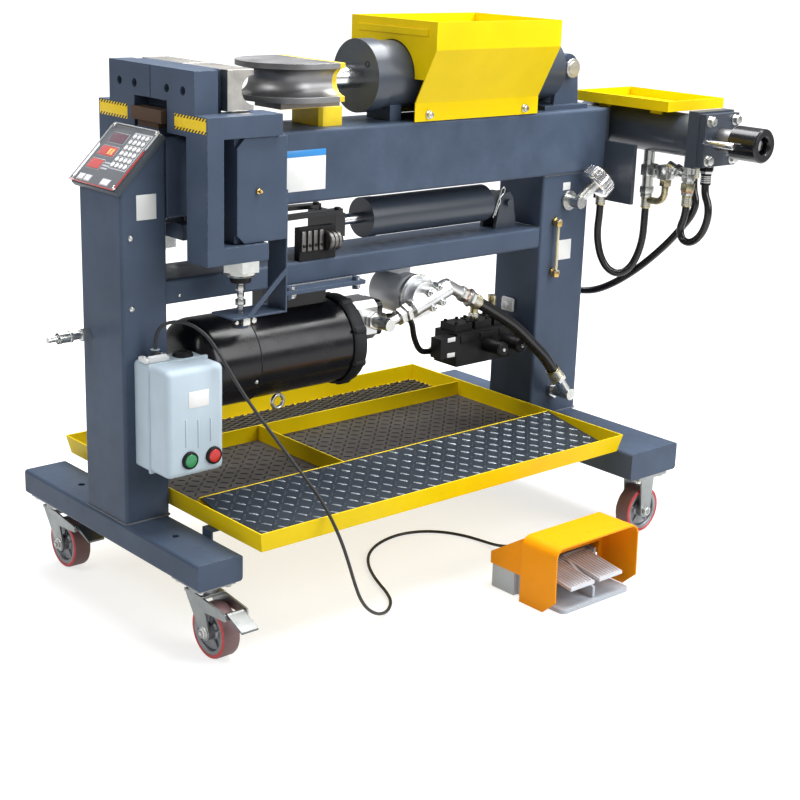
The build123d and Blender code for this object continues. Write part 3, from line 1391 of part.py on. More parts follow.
with BuildPart() as starter_box:
    wall = starter_wall
    block(starter_x, (seam_y, -starter_back - seat_gap), (starter_bottom, starter_top))
    fillet(starter_box.edges().filter_by(Axis.Y), 10)
    block((starter_x[0] + wall, starter_x[1] - wall), (seam_y - 1, -starter_back - wall),
          (starter_bottom + wall, starter_top - wall), mode=Mode.SUBTRACT)
    contactor_y = (seam_y + 2, -starter_back - wall - seat_gap)
    block((starter_x[0] + 40, starter_x[1] - 40), contactor_y, (starter_bottom + 90, starter_top - 50))
    bar((clamp_x, clamp_y, starter_top + seat_gap), (0, 0, 1), cord_radius + 7, clamp_height - seat_gap)
    hexagon((clamp_x, clamp_y, starter_top + seat_gap), (0, 0, 1), 28, 9)
keep(starter_box, "starter_box")

with BuildPart() as starter_cover:
    block(starter_x, (-starter_front, seam_y - seat_gap), (starter_bottom, starter_top))
    fillet(starter_cover.edges().filter_by(Axis.Y), 10)
    fillet(starter_cover.faces().sort_by(Axis.Y)[0].edges(), 7)
    block((starter_x[0] + wall, starter_x[1] - wall), (-starter_front + wall, seam_y),
          (starter_bottom + wall, starter_top - wall), mode=Mode.SUBTRACT)
    for x in (start_x, stop_x):
        ring((x, -starter_front + wall, button_z), (0, -1, 0), button_radius + 6, button_radius + slide_gap,
             wall + 3)
        bar((x, -starter_front - 8, button_z), (0, 1, 0), button_radius + slide_gap, 20, mode=Mode.SUBTRACT)
keep(starter_cover, "starter_cover")


def push_button(x):
    """Round button with a flange inside the cover."""
    front = -starter_front - button_proud
    inside = -starter_front + starter_wall + slide_gap
    bar((x, front, button_z), (0, 1, 0), button_radius, inside - front + 12)
    bar((x, inside, button_z), (0, 1, 0), button_radius + 3, 3)


with BuildPart() as start_button:
    push_button(start_x)
keep(start_button, "start_button")

with BuildPart() as stop_button:
    push_button(stop_x)
keep(stop_button, "stop_button")

# Control console on the left column: tilted housing on a wedge, with a face plate

with BuildPart() as control_console:
    with BuildSketch(console_plane):
        RectangleRounded(console_width, console_slope, console_edge)
    extrude(amount=-console_depth)
    with BuildSketch(console_plane):
        RectangleRounded(console_width - 2 * console_edge, console_slope - 2 * console_edge, console_edge / 2)
    extrude(amount=-2 * face_sheet, mode=Mode.SUBTRACT)
    # face plate with keys and display windows, set into the housing
    face_w = console_width - 2 * console_edge - 2 * seat_gap
    face_h = console_slope - 2 * console_edge - 2 * seat_gap
    floor_plane = console_plane.offset(-2 * face_sheet + seat_gap)
    with BuildSketch(floor_plane):
        RectangleRounded(face_w, face_h, console_edge / 2)
    extrude(amount=2 * face_sheet - 1)
    with BuildSketch(console_plane.offset(-1)):
        with Locations((0, -face_h * 0.22)):
            with GridLocations(face_w / 6, face_h / 9, key_columns, key_rows):
                RectangleRounded(face_w / 8, face_h / 13, 1.5)
        with Locations((-face_w * 0.26, face_h * 0.3), (face_w * 0.26, face_h * 0.3), (0, face_h * 0.13)):
            Rectangle(face_w * 0.3, face_h * 0.13)
    extrude(amount=2)
keep(control_console, "control_console")

# Foot switch: base with housing and shaft, guard, two pedals

with BuildPart() as switch_base_plate:
    base_x = (switch_left + base_inset, switch_right - base_inset)
    housing_x = (switch_left + rear_inset, switch_right - rear_inset)
    housing_front = -switch_back - switch_housing_depth
    with BuildSketch(level(middle(base_x), middle((-switch_front, housing_front)), 0)) as plate_outline:
        Rectangle(base_x[1] - base_x[0], switch_front + housing_front)
        fillet(plate_outline.vertices().group_by(Axis.Y)[0], base_corner)
    extrude(amount=switch_base)
    block(housing_x, (housing_front, -switch_back), (0, switch_housing_height))
    fillet(switch_base_plate.edges().filter_by(Axis.Z).group_by(Axis.Y)[-1], base_corner)
    for x in (base_x[0], base_x[1] - cheek):
        block((x, x + cheek), (pedal_pivot_y - cheek_reach, housing_front + 1),
              (switch_base - 1, pedal_pivot_z + cheek_reach))
    middle_x = middle(base_x)
    side_profile((middle_x - cheek / 2, middle_x + cheek / 2),
                 [(housing_front + 1, switch_base - 1), (housing_front + 1, fin_high), (-fin_level, fin_high),
                  (-fin_front, fin_low), (-fin_front, switch_base - 1)])
    bar((base_x[0] + 2, pedal_pivot_y, pedal_pivot_z), (1, 0, 0), pedal_pin_radius, base_x[1] - base_x[0] - 4)
    bar((switch_gland_x, -switch_back - 2, gland_height), (0, 1, 0), cord_radius + 5, gland_proud + 2 - seat_gap)
keep(switch_base_plate, "foot_switch_base")

with BuildPart() as foot_switch_guard:
    # hood over the pedals, open to the front, and the lower part that sits on the housing
    rear_low = switch_housing_height + seat_gap
    wall = guard_wall
    side_profile((switch_left, switch_right),
                 [(-hood_back, 0), (-hood_back, guard_height), (-hood_front, guard_height), (-hood_lip, toe_height),
                  (-hood_toe, 0)])
    fillet(foot_switch_guard.edges().filter_by(Axis.Y).group_by(Axis.Z)[-1], hood_round)
    side_profile(housing_x, [(-switch_back, rear_low), (-switch_back, rear_height), (-hood_back - 1, rear_shoulder),
                             (-hood_back - 1, rear_low)])
    inside_height = guard_height - wall
    with BuildSketch(facing_front(middle(housing_x), -hood_back - wall, 0)) as hood_inside:
        with Locations((0, (inside_height - hood_round) / 2)):
            Rectangle(switch_width - 2 * wall, inside_height + hood_round)
        fillet(hood_inside.vertices().group_by(Axis.Z)[-1], hood_round - wall)
    extrude(amount=switch_width, mode=Mode.SUBTRACT)
    roof_slope = (rear_shoulder - rear_height) / (hood_back + 1 - switch_back)
    roof_wall = wall * sqrt(1 + roof_slope ** 2)
    roof_back = rear_height + wall * roof_slope - roof_wall
    roof_front = rear_height + (hood_back - switch_back) * roof_slope - roof_wall
    with BuildSketch(facing_right(housing_x[0] + wall, 0, 0)):
        Polygon((-switch_back - wall, rear_low - 1), (-switch_back - wall, roof_back),
                (-hood_back, roof_front), (-hood_back, hub_passage), (-hood_back - 2 * wall, hub_passage),
                (-hood_back - 2 * wall, -1), (-hood_back + 1, -1), (-hood_back + 1, rear_low - 1), align=None)
    extrude(amount=housing_x[1] - housing_x[0] - 2 * wall, mode=Mode.SUBTRACT)
keep(foot_switch_guard, "foot_switch_guard")


def pedal(left):
    """Treadle plate that slopes down to the front from its hub on the shaft."""
    drop = tan(radians(pedal_slope))
    front_y = pedal_pivot_y - pedal_length
    front_z = pedal_pivot_z + 4 - pedal_length * drop
    side_profile((left, left + pedal_width),
                 [(pedal_pivot_y + 4, pedal_pivot_z + 6), (front_y, front_z), (front_y, front_z + pedal_thickness),
                  (pedal_pivot_y + 4, pedal_pivot_z + 6 + pedal_thickness)])
    bar((left, pedal_pivot_y, pedal_pivot_z), (1, 0, 0), pedal_pin_radius + 5, pedal_width)
    bar((left - 1, pedal_pivot_y, pedal_pivot_z), (1, 0, 0), pedal_pin_radius + run_gap, pedal_width + 2,
        mode=Mode.SUBTRACT)


switch_middle = switch_left + switch_width / 2

with BuildPart() as left_pedal:
    pedal(switch_middle - pedal_gap / 2 - pedal_width)
keep(left_pedal, "left_pedal")

with BuildPart() as right_pedal:
    pedal(switch_middle + pedal_gap / 2)
keep(right_pedal, "right_pedal")

# Casters: fixed plates and rigid forks, swivel forks, wheels and brakes


def wheel(centre, toward):
    """Tread on a dished iron core, with a hub between the fork legs."""
    plane = Plane(spot(*centre), z_dir=toward)
    half = wheel_width / 2
    hub_half = fork_inside - slide_gap
    with BuildSketch(plane.offset(-half)) as rim:
        Circle(wheel_radius)
    extrude(rim.sketch, amount=wheel_width)
    fillet(edges().filter_by(GeomType.CIRCLE), 3)
    for face in (half - wheel_dish, -half):
        with BuildSketch(plane.offset(face)) as dish:
            Circle(wheel_radius - 16)
            Circle(axle_radius + 12, mode=Mode.SUBTRACT)
        extrude(dish.sketch, amount=wheel_dish, mode=Mode.SUBTRACT)
    with BuildSketch(plane.offset(-hub_half)) as hub:
        Circle(axle_radius + 12)
    extrude(hub.sketch, amount=2 * hub_half)
    with BuildSketch(plane.offset(-hub_half - 1)) as bore:
        Circle(axle_radius + run_gap)
    extrude(bore.sketch, amount=2 * hub_half + 2, mode=Mode.SUBTRACT)


def swivel_fork(y):
    """Swivel crown, two legs, axle and the brake's pivot pin."""
    x = left_foot_x
    axle_y = y - swivel_trail
    crown_y = (y - 40, y + 30)
    block((x - fork_outside, x + fork_outside), crown_y, (crown_bottom, crown_top))
    pivot = (axle_y - brake_arm, axle_z + brake_lift)
    for side in (-1, 1):
        leg_x = sorted((x + side * fork_inside, x + side * fork_outside))
        side_profile(leg_x, [(crown_y[0], crown_top), (crown_y[1], crown_top), (axle_y + axle_boss, axle_z),
                             (axle_y - axle_boss, axle_z)])
        bar((leg_x[0], axle_y, axle_z), (1, 0, 0), axle_boss, fork_plate)
        side_profile(leg_x, [(crown_y[0] + 12, crown_top), (crown_y[0] + 12, crown_top - 34),
                             (pivot[0] - 7, pivot[1] - 7), (pivot[0] - 7, pivot[1] + 8)])
    bar((x - fork_outside, pivot[0], pivot[1]), (1, 0, 0), brake_pin_radius, 2 * fork_outside)
    bar((x, y, crown_bottom - 1), (0, 0, 1), kingpin_radius + run_gap, fork_crown + 2, mode=Mode.SUBTRACT)
    bar((x - fork_outside - 1, axle_y, axle_z), (1, 0, 0), axle_radius + seat_gap, 2 * fork_outside + 2,
        mode=Mode.SUBTRACT)
    bar((x - fork_outside - 9, axle_y, axle_z), (1, 0, 0), axle_radius, 2 * fork_outside + 18)


def brake(y):
    """Pedal that turns on the fork's front pin."""
    x = left_foot_x
    pivot = (y - swivel_trail - brake_arm, axle_z + brake_lift)
    hub = brake_pin_radius + 4
    bar((x - brake_width / 2, pivot[0], pivot[1]), (1, 0, 0), hub, brake_width)
    side_profile((x - brake_width / 2, x + brake_width / 2),
                 [(pivot[0], pivot[1] + hub), (pivot[0] - brake_reach, pivot[1] - 16),
                  (pivot[0] - brake_reach, pivot[1] - 21), (pivot[0] - 2, pivot[1] - 2)])
    bar((x - brake_width / 2 - 1, pivot[0], pivot[1]), (1, 0, 0), brake_pin_radius + run_gap,
        brake_width + 2, mode=Mode.SUBTRACT)


with BuildPart() as caster_mounts:
    plate_z = (caster_height - caster_plate, caster_height - seat_gap)
    for y in (-swivel_y, swivel_y):
        block((left_foot_x - caster_plate_width / 2, left_foot_x + caster_plate_width / 2),
              (y - caster_plate_length / 2, y + caster_plate_length / 2), plate_z)
        bar((left_foot_x, y, plate_z[0]), (0, 0, -1), 34, plate_z[0] - crown_top - slide_gap)
        bar((left_foot_x, y, plate_z[0]), (0, 0, -1), kingpin_radius, plate_z[0] - crown_bottom + 12)
        bar((left_foot_x, y, crown_bottom - slide_gap), (0, 0, -1), 14, 8)
    for y in (-rigid_front_y, rigid_back_y):
        x = right_foot_x
        block((x - caster_plate_length / 2, x + caster_plate_length / 2),
              (y - caster_plate_width / 2, y + caster_plate_width / 2), plate_z)
        for side in (-1, 1):
            leg_y = sorted((y + side * fork_inside, y + side * fork_outside))
            front_profile(leg_y, [(x - 26, plate_z[0] + 1), (x + 26, plate_z[0] + 1), (x + axle_boss, axle_z),
                                  (x - axle_boss, axle_z)])
            bar((x, leg_y[0], axle_z), (0, 1, 0), axle_boss, fork_plate)
        bar((x, y - fork_outside - 1, axle_z), (0, 1, 0), axle_radius + seat_gap, 2 * fork_outside + 2,
            mode=Mode.SUBTRACT)
        bar((x, y - fork_outside - 9, axle_z), (0, 1, 0), axle_radius, 2 * fork_outside + 18)
keep(caster_mounts, "caster_mounts")

with BuildPart() as front_left_fork:
    swivel_fork(-swivel_y)
keep(front_left_fork, "front_left_fork")

with BuildPart() as rear_left_fork:
    swivel_fork(swivel_y)
keep(rear_left_fork, "rear_left_fork")

with BuildPart() as front_left_wheel:
    wheel((left_foot_x, -swivel_y - swivel_trail, axle_z), (1, 0, 0))
keep(front_left_wheel, "front_left_wheel")

with BuildPart() as rear_left_wheel:
    wheel((left_foot_x, swivel_y - swivel_trail, axle_z), (1, 0, 0))
keep(rear_left_wheel, "rear_left_wheel")

with BuildPart() as front_right_wheel:
    wheel((right_foot_x, -rigid_front_y, axle_z), (0, 1, 0))
keep(front_right_wheel, "front_right_wheel")

with BuildPart() as rear_right_wheel:
    wheel((right_foot_x, rigid_back_y, axle_z), (0, 1, 0))
keep(rear_right_wheel, "rear_right_wheel")

with BuildPart() as front_left_brake:
    brake(-swivel_y)
keep(front_left_brake, "front_left_brake")

with BuildPart() as rear_left_brake:
    brake(swivel_y)
keep(rear_left_brake, "rear_left_brake")
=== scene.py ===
from math import cos, pi, radians, sin, sqrt

import bmesh
import bpy
from mathutils import Matrix, Vector


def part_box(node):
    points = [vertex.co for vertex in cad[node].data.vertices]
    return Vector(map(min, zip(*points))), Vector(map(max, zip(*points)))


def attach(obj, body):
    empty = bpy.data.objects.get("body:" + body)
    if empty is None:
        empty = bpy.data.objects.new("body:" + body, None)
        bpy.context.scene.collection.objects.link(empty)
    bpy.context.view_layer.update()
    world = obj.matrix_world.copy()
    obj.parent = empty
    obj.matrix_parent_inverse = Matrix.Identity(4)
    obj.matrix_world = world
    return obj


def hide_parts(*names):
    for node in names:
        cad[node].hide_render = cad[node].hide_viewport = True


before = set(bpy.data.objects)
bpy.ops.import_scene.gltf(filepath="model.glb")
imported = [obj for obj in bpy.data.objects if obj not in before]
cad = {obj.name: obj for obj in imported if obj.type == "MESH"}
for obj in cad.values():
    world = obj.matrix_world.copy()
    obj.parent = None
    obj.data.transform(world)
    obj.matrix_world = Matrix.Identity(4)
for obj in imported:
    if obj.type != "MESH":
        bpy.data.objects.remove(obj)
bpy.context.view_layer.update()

# Sizes are in millimetres from the left column's centre on the floor, as in the part's source.
MM = 0.001
DATUM = Vector((-0.7925, 0.146, 0.0))
LEFT, RIGHT = Vector((-1, 0, 0)), Vector((1, 0, 0))
FRONT, BACK = Vector((0, -1, 0)), Vector((0, 1, 0))
UP, DOWN = Vector((0, 0, 1)), Vector((0, 0, -1))
SIDES = ((-1, FRONT), (1, BACK))
CORNERS = ((-1, -1), (-1, 1), (1, -1), (1, 1))
WELD_STEP = 5


def at(x, y, z):
    """Point in metres of a place in mm."""
    return DATUM + Vector((x, y, z)) * MM


# Building blocks for the metal pieces


def paint_faces(faces, finish):
    for face in faces:
        face.material_index = finish


def faces_of(verts):
    return {face for vert in verts for face in vert.link_faces}


def round_edges(bm, edges, width, segments=2):
    bmesh.ops.bevel(bm, geom=list(edges), offset=width * MM, affect="EDGES", segments=segments,
                    profile=0.5, material=-1, clamp_overlap=True)


def slab(bm, place, size, edge=0.8, finish=0, segments=2, keep_back=False):
    """Block of a size in mm, centred on a place, with rounded edges."""
    shape = place @ Matrix.Diagonal((size[0] * MM, size[1] * MM, size[2] * MM, 1))
    made = bmesh.ops.create_cube(bm, size=1, matrix=shape)["verts"]
    paint_faces(faces_of(made), finish)
    edges = {line for vert in made for line in vert.link_edges}
    if keep_back:
        back = max(vert.co.y for vert in made)
        edges = {e for e in edges if min(v.co.y for v in e.verts) < back - 1e-6}
    if edge:
        round_edges(bm, edges, edge, segments)


def block(bm, x, y, z, edge=0.8, finish=0, segments=2, keep_back=False):
    """Block between limits in mm."""
    middle = at((x[0] + x[1]) / 2, (y[0] + y[1]) / 2, (z[0] + z[1]) / 2)
    slab(bm, Matrix.Translation(middle), (x[1] - x[0], y[1] - y[0], z[1] - z[0]), edge, finish, segments,
         keep_back)


def facing(start, toward):
    """Place at a point whose Z looks along a direction."""
    return Matrix.Translation(start) @ Vector(toward).to_track_quat("Z", "Y").to_matrix().to_4x4()


def rod(bm, start, toward, radius, length, tip=None, sides=32, edge=0.6, finish=0, turn=0.0):
    """Round or many-sided bar from a point along a direction, with rounded ends."""
    place = facing(start, toward) @ Matrix.Rotation(turn, 4, "Z") @ Matrix.Translation((0, 0, length * MM / 2))
    end_radius = radius if tip is None else tip
    made = bmesh.ops.create_cone(bm, cap_ends=True, cap_tris=False, segments=sides, radius1=radius * MM,
                                 radius2=end_radius * MM, depth=length * MM, matrix=place)["verts"]
    paint_faces(faces_of(made), finish)
    if edge:
        caps = [face for face in faces_of(made) if len(face.verts) == sides]
        round_edges(bm, {rim for cap in caps for rim in cap.edges}, edge)


def hexagon(bm, start, toward, flats, length, finish=0):
    rod(bm, start, toward, flats / sqrt(3), length, sides=6, edge=0.8, finish=finish)


def bolt(bm, start, toward, flats):
    """Hexagon head on a washer, seated at a point."""
    rod(bm, start, toward, flats * 0.68, flats * 0.12, sides=24, edge=0.2)
    hexagon(bm, start + toward * flats * 0.11 * MM, toward, flats, flats * 0.5)


def button_screw(bm, start, toward, radius, finish=0):
    """Button head screw with a hexagon socket."""
    lathe(bm, start, toward, [(0, radius), (radius * 0.35, radius * 0.9), (radius * 0.62, radius * 0.5),
                              (radius * 0.62, radius * 0.36), (radius * 0.3, radius * 0.32), (radius * 0.3, 0)],
          sides=20, finish=finish)


def lathe(bm, start, toward, steps, sides=40, finish=0, closed=False):
    """Turned shape from steps of (mm along the axis, radius in mm)."""
    place = facing(start, toward)
    verts = [bm.verts.new(place @ Vector((radius * MM, 0, along * MM))) for along, radius in steps]
    pairs = list(zip(verts, verts[1:]))
    if closed:
        pairs.append((verts[-1], verts[0]))
    edges = [bm.edges.new(pair) for pair in pairs]
    before = set(bm.faces)
    bmesh.ops.spin(bm, geom=verts + edges, cent=start, axis=Vector(toward), angle=2 * pi, steps=sides,
                   use_merge=True, use_duplicate=False)
    made = set(bm.faces) - before
    bmesh.ops.remove_doubles(bm, verts=list({vert for face in made for vert in face.verts}), dist=1e-6)
    made = set(bm.faces) - before
    paint_faces(made, finish)
    return made


def prism(bm, corners, along, edge):
    """Flat outline of points, extruded along a vector in mm, with rounded edges."""
    verts = [bm.verts.new(corner) for corner in corners]
    base = bm.faces.new(verts)
    grown = bmesh.ops.extrude_face_region(bm, geom=[base])["geom"]
    moved = [item for item in grown if isinstance(item, bmesh.types.BMVert)]
    bmesh.ops.translate(bm, verts=moved, vec=Vector(along) * MM)
    round_edges(bm, {e for v in verts + moved for e in v.link_edges}, edge)


def weld(bm, start, toward, length, width):
    """Weld bead: a round ridge with a wavy surface."""
    ripples = [(index * WELD_STEP + WELD_STEP / 2, width * (0.86 + 0.14 * sin(index * 2.3)))
               for index in range(int(length / WELD_STEP))]
    lathe(bm, start, toward, [(0, 0), *ripples, (length, 0)], sides=8)


def elbow(bm, centre, axis, start, radius, angle):
    """Bent tube round a centre, from a start point through an angle."""
    ring = bmesh.ops.create_circle(bm, segments=20, radius=radius * MM, cap_ends=False,
                                   matrix=facing(start, axis.cross(start - centre)))["verts"]
    edges = {edge for vert in ring for edge in vert.link_edges}
    bmesh.ops.spin(bm, geom=list(ring) + list(edges), cent=centre, axis=axis, angle=angle, steps=10,
                   use_merge=False, use_duplicate=False)


def piece(name, bm, body, finishes, stands_for=(), crease=32):
    """Finished mesh object that moves with a body."""
    bmesh.ops.recalc_face_normals(bm, faces=bm.faces)
    mesh = bpy.data.meshes.new(name)
    bm.to_mesh(mesh)
    bm.free()
    for finish in finishes:
        mesh.materials.append(finish)
    mesh.shade_smooth()
    mesh.set_sharp_from_angle(angle=radians(crease))
    made = bpy.data.objects.new(name, mesh)
    bpy.context.scene.collection.objects.link(made)
    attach(made, body)
    if stands_for:
        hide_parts(*stands_for)
    return made


# Finishes


def tint(colour, factor):
    return tuple(min(1.0, channel * factor) for channel in colour)


class Finish:
    """Material whose nodes are grown one from another, in the object's own coordinates."""

    def __init__(self, name):
        self.material = bpy.data.materials.new(name)
        self.material.use_nodes = True
        self.nodes, self.links = self.material.node_tree.nodes, self.material.node_tree.links
        self.shader = self.nodes["Principled BSDF"]
        self.place = self.grow("ShaderNodeTexCoord").outputs["Object"]

    def join(self, source, socket):
        """Link a socket, or set its value."""
        if isinstance(source, bpy.types.NodeSocket):
            self.links.new(source, socket)
        else:
            socket.default_value = source

    def grow(self, kind, sockets=None, **settings):
        """New node with its sockets set or linked."""
        node = self.nodes.new(kind)
        for key, value in settings.items():
            setattr(node, key, value)
        for key, source in (sockets or {}).items():
            self.join(source, node.inputs[key])
        return node

    def feed(self, socket, source):
        self.join(source, self.shader.inputs[socket])

    def noise(self, scale, detail=3.0, rough=0.5, place=None):
        return self.grow("ShaderNodeTexNoise", {
            "Vector": self.place if place is None else place, "Scale": scale, "Detail": detail,
            "Roughness": rough}).outputs["Fac"]

    def spread(self, source, low, high, out_low=0.0, out_high=1.0):
        return self.grow("ShaderNodeMapRange", {"Value": source, "From Min": low, "From Max": high,
                                                "To Min": out_low, "To Max": out_high}).outputs["Result"]

    def maths(self, operation, first, second=0.0):
        return self.grow("ShaderNodeMath", {0: first, 1: second}, operation=operation).outputs[0]

    def axis(self, name):
        return self.grow("ShaderNodeSeparateXYZ", {"Vector": self.place}).outputs[name]

    def blend(self, share, first, second):
        """Colour between two colours, or colour sockets, by a share."""
        node = self.grow("ShaderNodeMix", {0: share}, data_type="RGBA")
        for index, value in ((6, first), (7, second)):
            self.join((*value, 1.0) if isinstance(value, tuple) else value, node.inputs[index])
        return node.outputs[2]

    def clouded(self, colour, share, darker, lighter):
        """Tone that drifts between a darker and a lighter shade."""
        return self.blend(share, tint(colour, 1 - darker), tint(colour, 1 + lighter))

    def soft_edges(self, radius):
        """Rounded normal at edges, and a mask that is 1 on them."""
        rounded = self.grow("ShaderNodeBevel", {"Radius": radius * MM}, samples=6).outputs["Normal"]
        flat = self.grow("ShaderNodeNewGeometry").outputs["Normal"]
        match = self.grow("ShaderNodeVectorMath", {0: rounded, 1: flat}, operation="DOT_PRODUCT").outputs["Value"]
        return rounded, self.spread(match, 0.985, 0.86)

    def bumped(self, height, strength, distance, normal):
        self.feed("Normal", self.grow("ShaderNodeBump", {"Height": height, "Strength": strength, "Distance": distance,
                                                         "Normal": normal}).outputs["Normal"])


def coat(name, colour, worn, rough, edge, cloud=0.16, grain=0.02, vary=0.07, grain_scale=420.0):
    """Sprayed paint: cloudy tone, fine orange peel, soft edges that are worn to a lighter tone."""
    paint = Finish(name)
    tone = paint.clouded(colour, paint.spread(paint.noise(5.0, 4.0, 0.6), 0.3, 0.7), cloud, cloud)
    rounded, rim = paint.soft_edges(edge)
    chips = paint.spread(paint.noise(90.0, 5.0, 0.7), 0.46, 0.62, 0.0, 0.75)
    paint.feed("Base Color", paint.blend(paint.maths("MULTIPLY", rim, chips), tone, worn))
    paint.feed("Roughness", paint.spread(paint.noise(34.0), 0.3, 0.7, rough - vary, rough + vary))
    paint.bumped(paint.noise(grain_scale, 2.0), grain, 0.0006, rounded)
    return paint.material


def bare_metal(name, colour, rough, stain, edge=1.0, streak=(1, 1, 1), grain=0.08, grain_scale=260.0):
    """Plated or machined metal with tool streaks, stains and bright edges."""
    metal = Finish(name)
    metal.feed("Metallic", 1.0)
    lines = metal.grow("ShaderNodeMapping", {"Vector": metal.place, "Scale": streak}).outputs["Vector"]
    tone = metal.clouded(colour, metal.spread(metal.noise(14.0, 5.0, 0.65), 0.3, 0.72), stain, stain * 0.6)
    rounded, rim = metal.soft_edges(edge)
    metal.feed("Base Color", metal.blend(metal.maths("MULTIPLY", rim, 0.5), tone, tint(colour, 1.35)))
    streaks = metal.noise(60.0, 4.0, 0.6, lines)
    metal.feed("Roughness", metal.spread(streaks, 0.25, 0.75, rough - 0.1, rough + 0.12))
    metal.bumped(metal.noise(grain_scale, place=lines), grain, 0.0005, rounded)
    return metal.material


def moulded(name, colour, rough, grain=0.06, grain_scale=700.0, shine=0.0):
    """Moulded plastic or rubber with a fine grain."""
    skin = Finish(name)
    skin.feed("Base Color", skin.clouded(colour, skin.spread(skin.noise(9.0), 0.3, 0.7), 0.07, 0.07))
    skin.feed("Roughness", skin.spread(skin.noise(50.0), 0.3, 0.7, rough - 0.05, rough + 0.06))
    skin.feed("Coat Weight", shine)
    rounded, _ = skin.soft_edges(1.0)
    skin.bumped(skin.noise(grain_scale, 2.0), grain, 0.0004, rounded)
    return skin.material


def hatched_patch(middle, hatch_from):
    """Yellow patch with slanted black hatching along its upper and lower edge."""
    patch = Finish("yellow patch with hatched edges")
    height = patch.axis("Z")
    slant = patch.maths("MULTIPLY", patch.maths("ADD", patch.axis("Y"), height), 84.0)
    dashes = patch.maths("GREATER_THAN", patch.maths("FRACT", slant), 0.5)
    from_middle = patch.maths("ABSOLUTE", patch.maths("SUBTRACT", height, middle * MM))
    at_edge = patch.maths("GREATER_THAN", from_middle, hatch_from * MM)
    scuff = patch.spread(patch.noise(120.0, 5.0, 0.7), 0.35, 0.75)
    black = patch.blend(scuff, (0.012, 0.012, 0.012), (0.035, 0.033, 0.03))
    yellow = patch.blend(scuff, (0.86, 0.60, 0.008), (0.74, 0.50, 0.010))
    patch.feed("Base Color", patch.blend(patch.maths("MULTIPLY", dashes, at_edge), yellow, black))
    patch.feed("Roughness", patch.spread(scuff, 0, 1, 0.38, 0.55))
    return patch.material


def glow(name, colour, strength, dark):
    """Lit display behind a dark window, with a faint grid of lamps; also gives the acrylic's red edge strips a
    painted glow.
    """
    display = Finish(name)
    lamps = display.spread(display.noise(900.0, 1.0), 0.3, 0.7)
    display.feed("Base Color", display.blend(lamps, dark, tint(colour, 0.6)))
    display.feed("Emission Color", display.blend(lamps, tint(colour, 0.7), colour))
    display.feed("Emission Strength", strength)
    display.feed("Roughness", 0.15)
    return display.material


def clear_sheet(name, colour, film):
    """Clear plastic or glass with faint smears."""
    sheet = Finish(name)
    smears = sheet.noise(30.0, 4.0)
    sheet.feed("Roughness", sheet.spread(smears, 0.3, 0.7, 0.04, 0.12))
    sheet.feed("Base Color", sheet.blend(smears, tint(colour, 0.92), colour))
    sheet.feed("Alpha", film)
    return sheet.material


def two_tone(name, axis, border, low, high):
    """One solid in two finishes of (colour, metal, roughness, edge colour), which meet at a place along an axis."""
    pair = Finish(name)
    share = pair.maths("GREATER_THAN", pair.axis(axis), DATUM["XYZ".index(axis)] + border * MM)
    cloud = pair.spread(pair.noise(12.0, 5.0, 0.6), 0.3, 0.7)
    rounded, rim = pair.soft_edges(1.5)
    rim = pair.maths("MULTIPLY", rim, 0.45)
    tones = [pair.blend(rim, pair.clouded(colour, cloud, 0.16, 0.14), edge) for colour, _, _, edge in (low, high)]
    pair.feed("Base Color", pair.blend(share, *tones))
    pair.feed("Metallic", pair.spread(share, 0, 1, low[1], high[1]))
    rough = pair.spread(share, 0, 1, low[2], high[2])
    pair.feed("Roughness", pair.maths("ADD", rough, pair.spread(cloud, 0, 1, -0.06, 0.08)))
    pair.bumped(pair.noise(240.0), 0.05, 0.0005, rounded)
    return pair.material


SLATE_TONE = (0.058, 0.080, 0.122)
PATCH_Z = (1136, 1170)

slate_paint = coat("slate frame paint", SLATE_TONE, (0.20, 0.24, 0.31), 0.36, 2.5)
tray_yellow = coat("tray yellow paint", (0.72, 0.525, 0.002), (0.90, 0.70, 0.10), 0.36, 1.4, cloud=0.06)
hood_orange = coat("pedal hood orange paint", (0.82, 0.29, 0.003), (0.88, 0.44, 0.04), 0.33, 2.0, cloud=0.05)
cast_black = coat("rough cast black", (0.018, 0.019, 0.021), (0.09, 0.09, 0.10), 0.55, 1.5, grain=0.3,
                  grain_scale=150.0)
valve_black = coat("valve black", (0.013, 0.013, 0.014), (0.09, 0.09, 0.095), 0.4, 1.0)
gland_grey = coat("cylinder dark slate", (0.042, 0.052, 0.070), (0.24, 0.25, 0.27), 0.30, 0.4, cloud=0.06, grain=0.0,
                  vary=0.015)
base_grey = coat("foot switch grey paint", (0.43, 0.47, 0.52), (0.62, 0.64, 0.66), 0.4, 1.4, cloud=0.05)
pedal_grey = coat("pedal grey", (0.56, 0.60, 0.65), (0.66, 0.67, 0.68), 0.4, 1.2, cloud=0.05)
weld_grey = coat("painted weld", (0.10, 0.11, 0.13), (0.55, 0.56, 0.58), 0.35, 1.0, grain=0.2)
deck_sheet = coat("blue black tread plate", (0.021, 0.028, 0.038), (0.10, 0.12, 0.14), 0.40, 0.6, grain=0.1)
# Copy of the deck's tread lugs in painted shade, for the lugs of one direction on the sloping deck.
shaded_deck_lugs = coat("tread lugs in painted shade", (0.016, 0.020, 0.026), (0.16, 0.18, 0.20), 0.40, 0.6, grain=0.05)
mat_sheet = coat("brown black tread mat", (0.046, 0.041, 0.037), (0.11, 0.10, 0.09), 0.5, 0.6, cloud=0.3, grain=0.2)
mat_tip = coat("black tread lugs", (0.008, 0.008, 0.008), (0.03, 0.03, 0.03), 0.5, 0.5, grain=0.1)
worn_steel = bare_metal("worn tool steel", (0.40, 0.385, 0.36), 0.36, 0.3, edge=2.0, streak=(1, 7, 1))
bright_steel = bare_metal("bright steel", (0.66, 0.66, 0.66), 0.24, 0.12, streak=(1, 1, 5))
chrome = bare_metal("polished chrome", (0.80, 0.80, 0.81), 0.14, 0.06, grain=0.02)
zinc = bare_metal("zinc plate", (0.63, 0.64, 0.62), 0.3, 0.14)
